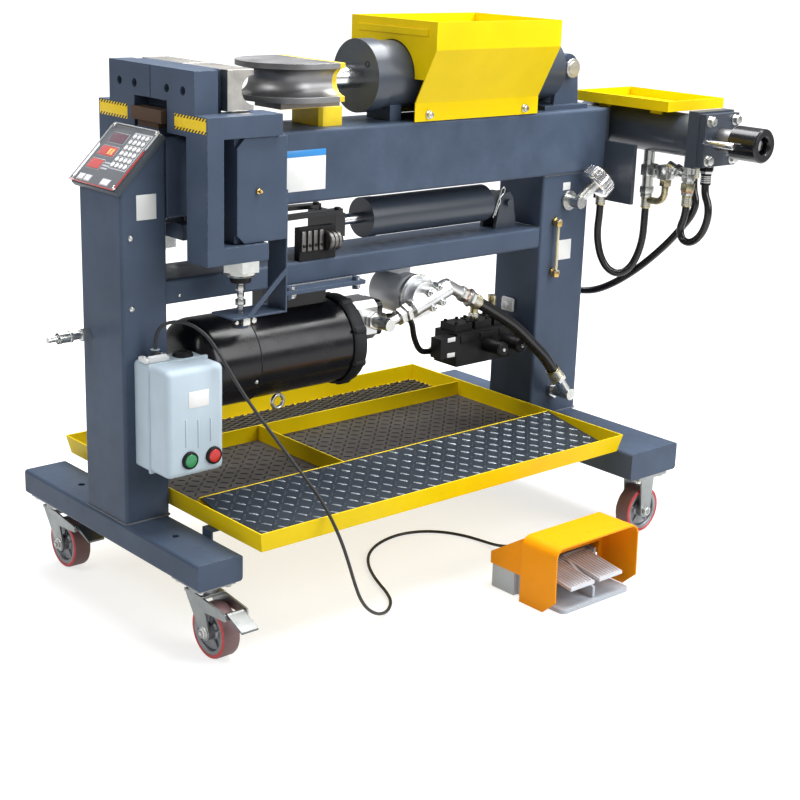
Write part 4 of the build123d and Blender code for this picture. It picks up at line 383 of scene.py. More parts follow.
olive_zinc = bare_metal("yellow chromate zinc", (0.50, 0.45, 0.29), 0.3, 0.25)
brass = bare_metal("brass", (0.68, 0.47, 0.17), 0.26, 0.2)
core_iron = bare_metal("cast iron wheel core", (0.30, 0.31, 0.33), 0.46, 0.2, grain=0.25, grain_scale=190.0)
valve_metal = bare_metal("phosphated valve steel", (0.16, 0.155, 0.15), 0.42, 0.3)
copper = bare_metal("copper washer", (0.66, 0.33, 0.17), 0.3, 0.2)
# Worn tread lugs with painted highlight, for the lugs of the other direction on the sloping deck.
worn_lit_deck_lugs = bare_metal("worn tread lugs with painted highlight", (0.25, 0.27, 0.29), 0.42, 0.25)
mesh_steel = bare_metal("dark expanded steel", (0.12, 0.112, 0.10), 0.45, 0.35)
caster_zinc = bare_metal("dull caster zinc", (0.34, 0.36, 0.36), 0.42, 0.2)
brake_steel = bare_metal("dull brake steel", (0.20, 0.21, 0.215), 0.42, 0.25)
hose_black = moulded("hose rubber", (0.007, 0.007, 0.008), 0.20, grain=0.04, grain_scale=500.0)
cord_black = moulded("cord rubber", (0.014, 0.014, 0.015), 0.42)
tread_red = moulded("wheel tread red brown", (0.15, 0.080, 0.084), 0.46)
rim_red = moulded("wheel rim red", (0.50, 0.020, 0.020), 0.30, shine=0.2)
starter_grey = moulded("starter pale grey", (0.44, 0.53, 0.60), 0.38, grain=0.03)
black_plastic = moulded("black plastic", (0.014, 0.014, 0.015), 0.4)
white_plastic = moulded("white plastic", (0.70, 0.71, 0.71), 0.38)
plate_white = moulded("bare white plate", (0.72, 0.73, 0.72), 0.34, grain=0.02)
plate_blue = moulded("bare blue band", (0.02, 0.22, 0.55), 0.34, grain=0.02)
key_white = moulded("keypad white", (0.82, 0.83, 0.85), 0.30)
panel_grey = moulded("panel blue grey", (0.066, 0.078, 0.094), 0.36)
panel_line = moulded("panel line grey", (0.40, 0.42, 0.46), 0.32)
start_green = moulded("start button green", (0.012, 0.22, 0.075), 0.28, shine=0.4)
stop_red = moulded("stop button red", (0.52, 0.012, 0.012), 0.28, shine=0.4)
display_red = glow("lit red display", (0.85, 0.03, 0.02), 0.28, (0.16, 0.006, 0.004))
display_orange = glow("lit orange digits", (1.0, 0.42, 0.08), 1.2, (0.30, 0.06, 0.01))
display_dark = glow("dark display", (0.20, 0.03, 0.09), 0.16, (0.03, 0.010, 0.022))
# Red acrylic edge given a painted glow, for the light gathered in the console's acrylic edges.
red_edge_glow = glow("red acrylic edge with painted glow", (0.75, 0.03, 0.02), 0.12, (0.40, 0.02, 0.01))
acrylic = clear_sheet("clear acrylic", (0.97, 0.97, 0.98), 0.05)
gauge_glass = clear_sheet("gauge glass", (0.92, 0.80, 0.45), 0.45)
hatched = hatched_patch(sum(PATCH_Z) / 2, 10.5)

SLATE = (SLATE_TONE, 0.0, 0.36, (0.18, 0.22, 0.28))
STEEL = ((0.23, 0.23, 0.235), 1.0, 0.40, (0.60, 0.59, 0.56))
DARK_STEEL = ((0.17, 0.155, 0.14), 1.0, 0.42, (0.40, 0.38, 0.35))
RUSTY = ((0.105, 0.066, 0.046), 0.4, 0.55, (0.28, 0.22, 0.18))
YELLOW = ((0.72, 0.525, 0.003), 0.0, 0.38, (0.90, 0.70, 0.12))
ALUMINIUM = ((0.68, 0.69, 0.70), 1.0, 0.34, (0.86, 0.86, 0.86))
CAN = ((0.56, 0.58, 0.61), 0.3, 0.36, (0.78, 0.80, 0.82))
BLACK = ((0.006, 0.006, 0.008), 0.0, 0.22, (0.06, 0.06, 0.065))
CHROME = ((0.78, 0.78, 0.79), 1.0, 0.16, (0.85, 0.85, 0.86))
ZINC = ((0.60, 0.61, 0.60), 1.0, 0.28, (0.78, 0.78, 0.78))
beam_finish = two_tone("slate beam with rusty strike bar", "Z", 1130, SLATE, RUSTY)
die_finish = two_tone("bend die steel with yellow end", "X", 521, STEEL, YELLOW)
carriage_finish = two_tone("yellow carriage with steel tongue", "Z", 1157, YELLOW, DARK_STEEL)
pump_finish = two_tone("pump aluminium with black cover", "X", 702, ALUMINIUM, BLACK)
filter_finish = two_tone("cast filter head with steel can", "Y", -96.5, ALUMINIUM, CAN)
motor_finish = two_tone("black motor with zinc eye bolt", "Z", 453, ZINC, BLACK)
return_rod_finish = two_tone("black crosshead with chrome rod", "X", 601, BLACK, CHROME)
nose_finish = two_tone("black expander nose with steel neck", "Y", -471, BLACK, STEEL)

DULL, HALF_DULL = 0.12, 0.30
for finish in (tray_yellow, hood_orange, slate_paint, beam_finish, starter_grey, cast_black, valve_black,
               black_plastic, deck_sheet, mat_sheet, mat_tip, panel_grey, acrylic):
    finish.node_tree.nodes["Principled BSDF"].inputs["Specular IOR Level"].default_value = DULL
motor_finish.node_tree.nodes["Principled BSDF"].inputs["Specular IOR Level"].default_value = HALF_DULL

finish_of_node = {
    slate_paint: ("left_foot", "right_foot", "left_column", "right_column", "lower_rail", "hinge_boxes", "front_gate",
                  "rear_gate", "clevis_bracket", "angle_sensor", "motor_plate"),
    beam_finish: ("main_beam",),
    tray_yellow: ("cylinder_hopper", "expander_tray", "drip_tray"),
    hood_orange: ("foot_switch_guard",),
    motor_finish: ("motor_body",),
    gland_grey: ("ram_cylinder", "return_cylinder", "expander_body"),
    worn_steel: ("front_back_shoe", "rear_back_shoe", "motor_rotor"),
    zinc: ("front_hinge_pin", "rear_hinge_pin", "pipe_fittings"),
    caster_zinc: ("caster_mounts", "front_left_fork", "rear_left_fork"),
    brake_steel: ("front_left_brake", "rear_left_brake"),
    chrome: ("ram_rod", "draw_rod", "breather_cap"),
    die_finish: ("bend_die",),
    carriage_finish: ("die_carriage",),
    pump_finish: ("gear_pump",),
    filter_finish: ("oil_filter",),
    return_rod_finish: ("return_rod",),
    nose_finish: ("expander_nose",),
    valve_black: ("valve_blocks",),
    base_grey: ("foot_switch_base",),
    pedal_grey: ("left_pedal", "right_pedal"),
    starter_grey: ("starter_box", "starter_cover"),
    start_green: ("start_button",),
    stop_red: ("stop_button",),
    panel_grey: ("control_console",),
    mat_sheet: ("tray_decks",),
    rim_red: ("front_left_wheel", "rear_left_wheel", "front_right_wheel", "rear_right_wheel"),
}
for finish, names in finish_of_node.items():
    for name in names:
        cad[name].data.materials.clear()
        cad[name].data.materials.append(finish)


# Hoses and cord: the part's own route points as control points

HOSE, PRESSURE, SUCTION, CORD = 21.0, 16.0, 32.0, 8.0
hose_routes = {
    "suction_hose": (SUCTION, 0.370, "taut", [
        (1002.4, -125, 629.3), (1039.4, -125, 609.7), (1099, -128, 574), (1138, -131, 549), (1171, -134, 521),
        (1204, -136, 491), (1232, -138, 466), (1264, -140, 436), (1290, -142, 402)]),
    "pressure_hose": (PRESSURE, 0.267, "taut", [
        (766.05, -20, 600), (796.05, -20, 600), (854, -18, 588), (872, -14, 564), (882, -8, 534),
        (900, 1, 506), (918, 8, 484), (940, 12, 470), (968, 12, 470)]),
    "loop_hose": (HOSE, 0.444, "hanging", [
        (1592, -181, 838), (1592, -181, 790), (1591, -180, 745), (1583, -173, 700), (1569, -161, 662),
        (1546, -141, 643), (1522, -120, 655), (1504, -105, 690), (1495, -97, 735), (1493, -95, 775),
        (1495, -97, 812), (1495, -97, 843)]),
    "long_hose": (HOSE, 0.604, "hanging", [
        (1632, -312, 938), (1632, -312, 905), (1632, -328, 870), (1631, -317, 834), (1629, -288, 795),
        (1624, -250, 748), (1614, -210, 704), (1602, -170, 664), (1586, -132, 630), (1568, -94, 601),
        (1560, -38, 573), (1546, 22, 566), (1498.05, 22, 566)]),
    "outer_hose": (HOSE, 0.317, "hanging", [
        (1600, -377, 930), (1600, -377, 904), (1600, -394, 876), (1600, -396, 836), (1600, -380, 792),
        (1600, -347, 762), (1600, -314, 764), (1600, -302, 797), (1600, -318, 834), (1600, -318, 862)]),
    "switch_cord": (CORD, 2.028, "loose", [
        (5, -120, 652), (5, -120, 688), (20, -138, 716), (54, -172, 720), (84, -206, 694), (104, -236, 645),
        (122, -264, 592), (144, -296, 538), (168, -330, 486), (192, -366, 434), (214, -404, 384), (232, -441, 340),
        (246, -468, 290), (262, -482, 240), (278, -488, 188), (296, -488, 136), (318, -484, 88), (352, -474, 48),
        (398, -459, 18), (446, -436, 5), (489, -400, 5), (516, -350, 5), (536, -296, 5), (560, -242, 5),
        (590, -190, 5), (630, -142, 5), (682, -106, 5), (740, -86, 5), (800, -82, 5), (858, -102, 5),
        (902, -144, 5), (928, -197, 5), (939, -248, 5), (939, -294, 9), (932, -336, 20), (923, -373, 35),
        (918, -407, 42), (918, -446, 42)]),
}


def lay_hose(name, width, route, finish):
    curve = bpy.data.curves.new(name, "CURVE")
    curve.dimensions = "3D"
    curve.bevel_depth = width / 2 * MM
    curve.bevel_resolution = 5
    curve.resolution_u = 8
    curve.use_fill_caps = True
    spline = curve.splines.new("NURBS")
    spline.points.add(len(route) - 1)
    for point, place in zip(spline.points, route):
        point.co = (*at(*place), 1.0)
    spline.order_u = 3
    spline.use_endpoint_u = True
    curve.materials.append(finish)
    made = bpy.data.objects.new(name + "_line", curve)
    bpy.context.scene.collection.objects.link(made)
    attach(made, "frame")
    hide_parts(name)


for name, (width, length, lay, route) in hose_routes.items():
    lay_hose(name, width, route, cord_black if name == "switch_cord" else hose_black)


# Hose ends: ridged sleeves, hexagons and bent tubes over the plain fittings

SLEEVE, SHORT_SLEEVE, SLEEVE_NUT = 42.0, 30.0, 11.0
LOOP_X, LOOP_Y = 1592, -181
OUTER_X, OUTER_Y = 1600, -318
TUBE_Y, TUBE_RADIUS = -246, 10
FILTER_Y = -125
SWIVEL_RUN = Vector((8, -66, -24))
FILTER_RUN = Vector((0.944, 0, 0.33))
SUCTION_RUN = Vector((0.883, 0, -0.4695))


def ridged_sleeve(bm, end, before, hose, length, finish=0):
    """Pressed sleeve from a hose's end outward, with a nut at its far end."""
    outward = (at(*end) - at(*before)).normalized()
    radius = hose / 2 + 4.0
    steps = [(-1, hose / 2 + 0.3), (-1, radius - 0.8), (0.5, radius)]
    for ridge in range(4):
        along = length * (0.16 + 0.17 * ridge)
        steps += [(along, radius), (along + 1, radius - 1.1), (along + 3, radius - 1.1), (along + 4, radius)]
    steps += [(length - 1, radius), (length, radius - 0.8), (length, hose / 2)]
    lathe(bm, at(*end), outward, steps, sides=28, finish=finish, closed=True)
    hexagon(bm, at(*end) + outward * (length - 0.5) * MM, outward, radius * 2.15, SLEEVE_NUT, finish=1)


def hose_ends():
    bm = bmesh.new()
    for name, (hose, _, _, route) in hose_routes.items():
        if name != "switch_cord":
            length = (SHORT_SLEEVE if name == "pressure_hose" else SLEEVE) - SLEEVE_NUT
            ridged_sleeve(bm, route[0], route[1], hose, length, finish=3 if name == "outer_hose" else 0)
            ridged_sleeve(bm, route[-1], route[-2], hose, length)
    under_expander = (
        ((LOOP_X, LOOP_Y, 930), UP, 38, 30, 1), ((LOOP_X, -196, 945), FRONT, 36, 18, 1),
        ((LOOP_X, TUBE_Y, 908), UP, 30, 20, 0), ((LOOP_X, LOOP_Y, 880), UP, 36, 18, 1),
        ((OUTER_X, OUTER_Y, 905), UP, 36, 20, 0), ((OUTER_X, OUTER_Y, 932), UP, 35, 18, 1),
        ((1595, -276, 957), SWIVEL_RUN, 34, 16, 1), ((OUTER_X, -377, 967), UP, 35, 11, 3))
    power_unit = (
        ((685, -68.5, 613), FRONT, 40, 16, 1), ((722, FILTER_Y, 626), FILTER_RUN, 40, 16, 1),
        ((742, FILTER_Y, 633), FILTER_RUN, 44, 14, 1), ((936, FILTER_Y, 664), SUCTION_RUN, 36, 16, 1),
        ((1311, -142, 371), UP, 30, 14, 1))
    for place, way, flats, length, finish in under_expander + power_unit:
        hexagon(bm, at(*place), way, flats, length, finish)
    # bent tube and swivel under the expander's cylinder
    rod(bm, at(LOOP_X, -170, 945), FRONT, 14, 64, finish=1)
    block(bm, (1574, 1610), (-264, -226), (926, 966), edge=4, finish=1)
    rod(bm, at(LOOP_X, TUBE_Y, 912), DOWN, TUBE_RADIUS, 22)
    elbow(bm, at(LOOP_X, -216, 891), RIGHT, at(LOOP_X, TUBE_Y, 891), TUBE_RADIUS, radians(90))
    rod(bm, at(LOOP_X, -217, 861), BACK, TUBE_RADIUS, 32)
    rod(bm, at(LOOP_X, -252, 966), SWIVEL_RUN, 15, 64, tip=11, finish=1)
    # copper washers
    for place, way, inner, outer in (((OUTER_X, OUTER_Y, 901), UP, 13, 17.5),
                                     ((950, FILTER_Y, 656.6), SUCTION_RUN, 15, 19.5)):
        lathe(bm, at(*place), way, [(0, inner), (0, outer), (4, outer), (4, inner)], finish=2, closed=True)
    # air coupler on the left column
    lathe(bm, at(-139, 60, 658), RIGHT, [(0, 9), (0, 13.5), (5, 13.5), (6, 12.2), (28, 12.2), (29, 13.5), (34, 13.5),
                                         (35, 9)], sides=28, finish=1, closed=True)
    piece("hose_end_details", bm, "frame", [olive_zinc, zinc, copper, valve_black], crease=28)


hose_ends()


# Casters

AXLE_HEIGHT, SWIVEL_Y, SWIVEL_TRAIL = 63.5, 322, 48
FIXED_X, FIXED_Y = 1353, (-430, 352)
wheel_half_profile = [(26.4, 8.2), (26.4, 15), (25.0, 17.5), (14, 19), (10.5, 23), (10.5, 38), (13, 43), (19.5, 45),
                      (21, 47), (21, 53), (21.6, 54), (22.6, 55.5), (22.6, 59.5), (21, 62.2), (17.5, 63.5)]
wheels = {
    "front_left_wheel": ((-5, -SWIVEL_Y - SWIVEL_TRAIL, AXLE_HEIGHT), RIGHT),
    "rear_left_wheel": ((-5, SWIVEL_Y - SWIVEL_TRAIL, AXLE_HEIGHT), RIGHT),
    "front_right_wheel": ((FIXED_X, FIXED_Y[0], AXLE_HEIGHT), BACK),
    "rear_right_wheel": ((FIXED_X, FIXED_Y[1], AXLE_HEIGHT), BACK),
}


def caster_wheel(name, centre, axis):
    """Iron core with a hub and webs, bright rim edge and dark tread."""
    bm = bmesh.new()
    profile = wheel_half_profile + [(-along, radius) for along, radius in reversed(wheel_half_profile)]
    made = lathe(bm, at(*centre), axis, profile, sides=72, closed=True)
    for face in made:
        offset = face.calc_center_median() - at(*centre)
        radius = (offset - axis * offset.dot(axis)).length / MM
        face.material_index = 0 if radius > 61.5 else 1 if radius > 53.8 else 2
    for step in range(5):
        turn = Matrix.Rotation(radians(72 * step), 3, axis)
        out = turn @ UP
        for side in (-1, 1):
            middle = at(*centre) + out * 31 * MM + axis * side * 12.5 * MM
            basis = Matrix((axis.cross(out), out, axis)).transposed().to_4x4()
            slab(bm, Matrix.Translation(middle) @ basis, (6, 27, 5), edge=1.5, finish=2)
    piece(name + "_turned", bm, name, [tread_red, rim_red, core_iron], stands_for=[name])


for name, (centre, axis) in wheels.items():
    caster_wheel(name, centre, axis)


def caster_bolts():
    """Plate bolts and axle nuts of the fixed caster plates."""
    bm = bmesh.new()
    swivels = [(-5, y, 36, 44) for y in (-SWIVEL_Y, SWIVEL_Y)]
    for x, y, half_x, half_y in swivels + [(FIXED_X, y, 44, 36) for y in FIXED_Y]:
        for side_x, side_y in CORNERS:
            bolt(bm, at(x + side_x * half_x, y + side_y * half_y, 164), DOWN, 13)
    for y in FIXED_Y:
        for side, way in SIDES:
            hexagon(bm, at(FIXED_X, y + side * 32, AXLE_HEIGHT), way, 22, 8.5)
    piece("caster_bolts", bm, "frame", [zinc])


def swivel_nuts(body, y):
    bm = bmesh.new()
    for way, face in ((LEFT, -37), (RIGHT, 27)):
        place = at(face, y - SWIVEL_TRAIL, AXLE_HEIGHT)
        hexagon(bm, place, way, 20, 8.5)
        rod(bm, place, way, 14, 1.6, sides=28, edge=0.3)
        rod(bm, place, way, 5, 12, sides=18, edge=0.8)
    piece(body + "_nuts", bm, body, [zinc])


caster_bolts()
swivel_nuts("front_left_swivel", -SWIVEL_Y)
swivel_nuts("rear_left_swivel", SWIVEL_Y)


# Tray decks: sloping tread plate, two tread mats and an expanded steel mat

DECK_X = (80.0, 1237.0)
TRAY_FLOOR, SHEET = 253.05, 4.0
DECK_BACK, DECK_FRONT = (-182, 296), (-424, TRAY_FLOOR)
LUG_PITCH, LUG_LONG, LUG_WIDE, LUG_HIGH = 25.5, 13.0, 2.8, 1.5
BINS = ((80, 510), (525, 1237))
MAT_Y, CELL_X, CELL_Y = (196.0, 385.0), 44.0, 19.0


def tread_lugs(bm, corner, along, down, run, depth, finishes):
    """Raised slender lugs, crossed in turn in two finishes, over a flat area."""
    normal = along.cross(down).normalized()
    if normal.z < 0:
        normal = -normal
    basis = Matrix((along, normal.cross(along), normal)).transposed().to_4x4()
    lug = Matrix.Diagonal((LUG_LONG * MM, LUG_WIDE * MM, LUG_HIGH * MM, 1)) @ Matrix.Translation((0, 0, 0.4))
    for row in range(int(depth // LUG_PITCH)):
        for column in range(int(run // LUG_PITCH)):
            centre = corner + along * (column + 0.5) * LUG_PITCH * MM + down * (row + 0.5) * LUG_PITCH * MM
            crossed = (row + column) % 2
            turn = Matrix.Rotation(radians(45 if crossed else -45), 4, "Z")
            made = bmesh.ops.create_cone(bm, cap_ends=True, segments=10, radius1=1.0, radius2=0.6, depth=1.0,
                                         matrix=Matrix.Translation(centre) @ basis @ turn @ lug)["verts"]
            paint_faces(faces_of(made), finishes[crossed])


def tray_decks():
    bm = bmesh.new()
    back, front = at(DECK_X[0], *DECK_BACK), at(DECK_X[0], *DECK_FRONT)
    length = DECK_X[1] - DECK_X[0]
    lift = UP * SHEET * MM
    prism(bm, [back, front, front + lift, back + lift], (length, 0, 0), edge=0.8)
    slope = (front - back).normalized()
    # On the sloping deck the lugs of one direction are worn and carry painted highlight, and those of the other
    # direction are a copy in painted shade.
    tread_lugs(bm, back + lift + slope * 2 * MM + RIGHT * 6 * MM, RIGHT, slope, length - 8,
               (front - back).length / MM, (1, 5))
    for left, right in BINS:
        block(bm, (left, right), (-174, 181), (TRAY_FLOOR, TRAY_FLOOR + SHEET), edge=0.6, finish=3)
        tread_lugs(bm, at(left + 4, 178, TRAY_FLOOR + SHEET), RIGHT, FRONT, right - left - 6, 350, (4, 4))
    block(bm, (DECK_X[0] - 2, DECK_X[1]), (-184.5, -181), (294, 300.4), edge=0.8, finish=2)
    piece("tray_tread_plates", bm, "frame", [deck_sheet, worn_lit_deck_lugs, tray_yellow, mat_sheet, mat_tip, shaded_deck_lugs],
          stands_for=["tray_decks"])


def expanded_mat():
    """Crossed strands of expanded steel on a dark sheet."""
    bm = bmesh.new()
    left, right = DECK_X
    front, back = MAT_Y
    block(bm, DECK_X, MAT_Y, (TRAY_FLOOR, TRAY_FLOOR + 1.2), edge=0.3, finish=1)
    reach = (back - front) * CELL_X / CELL_Y
    for way in (1, -1):
        for index in range(1, int((right - left + reach) / CELL_X)):
            start = left + index * CELL_X - reach
            low, high = max(0.0, (left - start) / reach), min(1.0, (right - start) / reach)
            if high - low < 0.02:
                continue
            ends = []
            for share in (low, high):
                x = start + reach * share
                ends.append(at(x if way == 1 else left + right - x, front + (back - front) * share,
                               TRAY_FLOOR + 2.9 + way * 0.5))
            run = ends[1] - ends[0]
            rod(bm, ends[0], run, 2.0, run.length / MM, sides=4, edge=0, turn=pi / 4)
    piece("expanded_mat", bm, "frame", [mesh_steel, mat_tip], stands_for=["tray_decks"])


tray_decks()
expanded_mat()


# Motor starter

STARTER_X, STARTER_Y, STARTER_Z = (-31, 122), (-222, -149.05), (374, 626)
SEAM_X, SEAM_Z = (STARTER_X[0] - 2, STARTER_X[1] + 2), (STARTER_Z[0] - 2, STARTER_Z[1] + 2)
BUTTONS_X, BUTTON_Z = (27, 91), 413


def starter_cover():
    bm = bmesh.new()
    block(bm, STARTER_X, STARTER_Y, STARTER_Z, edge=15, segments=6, keep_back=True)
    block(bm, SEAM_X, (-153, STARTER_Y[1]), SEAM_Z, edge=1.4)
    front = STARTER_Y[0]
    for x, low, high in ((18, 445, 510), (51, 438, 505), (84, 448, 503)):
        block(bm, (x - 2, x + 2), (front - 1.6, front + 2), (low, high), edge=1.4)
    block(bm, (25, 79), (front - 0.7, front + 2), (534, 572), edge=0.3, finish=1)
    for x in BUTTONS_X:
        lathe(bm, at(x, front + 2, BUTTON_Z), FRONT,
              [(0, 21), (3, 21), (7.5, 20), (9, 18.5), (9, 16), (0, 16)], sides=40, finish=2, closed=True)
    piece("starter_cover_shell", bm, "frame", [starter_grey, white_plastic, black_plastic],
          stands_for=["starter_cover"])


def starter_extras():
    """Clamp, grommet and cord ribs on the starter's top, and the seam of its base."""
    bm = bmesh.new()
    lathe(bm, at(78, -120, 626), UP, [(0, 24), (4, 24), (8, 21), (9, 12), (7, 9), (7, 0)], sides=36)
    for step in range(5):
        lathe(bm, at(5, -120, 637 + step * 3.0), UP, [(0, 11.2), (0.8, 11.9), (1.8, 11.9), (2.6, 11.2)], sides=28,
              closed=True)
    for x in (-24, 24):
        block(bm, (x - 7, x + 7), (-138, -104), (626, 638), edge=3, finish=1)
        button_screw(bm, at(x, -121, 637.5), UP, 5, finish=2)
    block(bm, (-24, 24), (-140, -132), (626, 643), edge=3, finish=1)
    block(bm, SEAM_X, (-148.5, -145), SEAM_Z, edge=1.4, finish=3)
    piece("starter_plugs", bm, "frame", [black_plastic, white_plastic, zinc, starter_grey])


def button_cap(body, x, finish):
    """Wide domed cap on a push button."""
    bm = bmesh.new()
    lathe(bm, at(x, STARTER_Y[0] - 5.2, BUTTON_Z), FRONT,
          [(0, 0), (0, 15.3), (1.4, 15.3), (2.6, 14), (3.2, 9), (3.4, 0)], sides=36)
    piece(body + "_cap", bm, body, [finish])


starter_cover()
starter_extras()
button_cap("start_button", BUTTONS_X[0], start_green)
button_cap("stop_button", BUTTONS_X[1], stop_red)


# Control console: tilted panel with displays, keys and an acrylic sheet

CONSOLE_TILT = radians(44.5)
CONSOLE_WIDE, CONSOLE_SLOPE = 190.0, 171.0
console_up = Vector((cos(CONSOLE_TILT), 0, sin(CONSOLE_TILT)))
console_out = Vector((-sin(CONSOLE_TILT), 0, cos(CONSOLE_TILT)))
console_middle = at(-78, 0, 1010) + console_up * CONSOLE_SLOPE / 2 * MM
console_place = Matrix.Translation(console_middle) @ Matrix((FRONT, console_up, console_out)).transposed().to_4x4()


def on_console(right, up, out):
    return console_place @ Matrix.Translation(Vector((right, up, out)) * MM)


def framed_window(bm, right, up, wide, high, finish):
    """Dark window with a light line round it."""
    slab(bm, on_console(right, up, -2.0), (wide + 5, high + 5, 0.8), edge=0.2, finish=1)
    slab(bm, on_console(right, up, -1.6), (wide + 2.6, high + 2.6, 0.8), edge=0.2, finish=2)
    slab(bm, on_console(right, up, -1.2), (wide, high, 0.8), edge=0.2, finish=finish)


def console_housing():
    bm = bmesh.new()
    slab(bm, on_console(0, 0, -12), (CONSOLE_WIDE, CONSOLE_SLOPE, 16), edge=3)
    slab(bm, on_console(0, 0, -3.2), (CONSOLE_WIDE - 8, CONSOLE_SLOPE - 8, 2.0), edge=0.6)
    framed_window(bm, -41, 48, 62, 25, 3)
    framed_window(bm, -42, 10, 64, 25, 4)
    framed_window(bm, -52, -28, 50, 25, 4)
    for right in (-34, -22):
        slab(bm, on_console(right, 10, -0.7), (8, 16, 0.5), edge=0.2, finish=5)
    for line in range(3):
        slab(bm, on_console(-8, -20 - line * 8, -1.9), (26, 4.5, 0.8), edge=0.2, finish=1)
    slab(bm, on_console(40, 20, -2.1), (72, 104, 0.6), edge=0.2, finish=1)
    for column in range(4):
        for row in range(6):
            place = on_console(14 + column * 17, 61 - row * 16.4, -2.0)
            slab(bm, place, (15, 14.4, 0.9), edge=0.3, finish=2)
            lathe(bm, place.translation, console_out, [(0, 6.0), (1.6, 6.0), (2.4, 4.8), (2.6, 0)], sides=16,
                  finish=6)
    for right, wide in ((-66, 25), (-38, 25), (36, 34)):
        slab(bm, on_console(right, -68, -1.8), (wide, 18, 1.0), edge=0.4, finish=1)
        slab(bm, on_console(right, -68, -1.3), (wide - 5, 13, 1.0), edge=0.4, finish=6)
    piece("console_panel", bm, "frame",
          [panel_grey, panel_line, black_plastic, display_dark, display_red, display_orange, key_white],
          stands_for=["control_console"])


def console_cover():
    """Acrylic sheet on four studs, with white edge strips as painted highlight and red edge strips with a painted
    glow.
    """
    bm = bmesh.new()
    slab(bm, on_console(0, 0, 2.6), (CONSOLE_WIDE - 2, CONSOLE_SLOPE - 2, 3.0), edge=0.5)
    piece("console_acrylic", bm, "frame", [acrylic])
    rims = bmesh.new()
    half_wide, half_slope = CONSOLE_WIDE / 2 - 1.4, CONSOLE_SLOPE / 2 - 1.4
    # White strips on the top, left and upper right edges are painted highlight; the glowing red strips on the bottom
    # and lower right are a painted glow of light in the acrylic.
    for right, up, wide, high, finish in (
            (half_wide, -24, 1.2, CONSOLE_SLOPE - 62, 0), (half_wide, 54, 1.2, 56, 1),
            (-half_wide, 0, 1.2, CONSOLE_SLOPE - 4, 1), (0, -half_slope, CONSOLE_WIDE - 8, 1.2, 0),
            (0, half_slope, CONSOLE_WIDE - 8, 1.2, 1)):
        slab(rims, on_console(right, up, 2.6), (wide, high, 3.2), edge=0.2, finish=finish)
    for right, up in CORNERS:
        lathe(rims, on_console(right * 86, up * 77, -2).translation, console_out,
              [(0, 4), (3, 4), (6.5, 4.8), (7.4, 3.2), (7.6, 0)], sides=20, finish=2)
    piece("console_edges", rims, "frame", [red_edge_glow, white_plastic, chrome])


console_housing()
console_cover()


# Foot pedals: long ribs on the treads

PEDAL_BACK, PEDAL_FRONT = (-576, 79.6), (-690, 61.8)


def pedal_ribs(body):
    bm = bmesh.new()
    low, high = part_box(body)
    left, right = (low[0] - DATUM.x) / MM, (high[0] - DATUM.x) / MM
    count = 8
    for index in range(count):
        x = left + 8 + (right - left - 16) * index / (count - 1)
        start, end = at(x, *PEDAL_BACK), at(x, *PEDAL_FRONT)
        rod(bm, start, end - start, 1.5, (end - start).length / MM, sides=8, edge=0.4)
    piece(body + "_ribs", bm, body, [base_grey])


pedal_ribs("left_pedal")
pedal_ribs("right_pedal")


# Gates and frame: hatched patches, couplings under the front hinge, screws, welds and bare plates

HINGE = (202, -170)
COLUMN_FACE, BEAM_FACE, TANK_FACE = 89, 92, 85.5
GAUGE_X, GAUGE_Y, GAUGE_Z = 1323, -101.5, (668, 810)
EXPANDER_X, EXPANDER_Z = 1600, 1055


def gate_patch(body, side):
    bm = bmesh.new()
    near, far = sorted((side * 97, side * 219))
    block(bm, (76.5, 77.4), (near, far), PATCH_Z, edge=0.15)
    piece(body + "_patch", bm, body, [hatched])


def sensor_coupling():
    """Washer and coupling hexagons on the front hinge's tail, which turn with the gate."""
    bm = bmesh.new()
    lathe(bm, at(*HINGE, 806), UP, [(0, 22), (0, 33), (6, 37), (12, 37), (12, 22)], sides=40, closed=True)
    lathe(bm, at(*HINGE, 792), UP, [(0, 12), (0, 24), (14, 26), (14, 12)], sides=40, finish=1, closed=True)
    for low, high, flats in ((772, 786, 19), (757, 768, 15), (738, 752, 21), (724, 734, 15)):
        hexagon(bm, at(*HINGE, low), UP, flats, high - low)
    piece("sensor_coupling", bm, "front_gate", [zinc, black_plastic])


def sensor_screws():
    """Clamp block and screws of the angle sensor under its shelf."""
    bm = bmesh.new()
    block(bm, (192, 212), (-196, -184), (694, 712), edge=1.5)
    bolt(bm, at(224, -186, 703), FRONT, 13)
    bolt(bm, at(178, -186, 703), FRONT, 9)
    block(bm, (170, 236), (-188, -182), (692, 716), edge=1.0, finish=1)
    piece("sensor_screws", bm, "frame", [zinc, black_plastic])


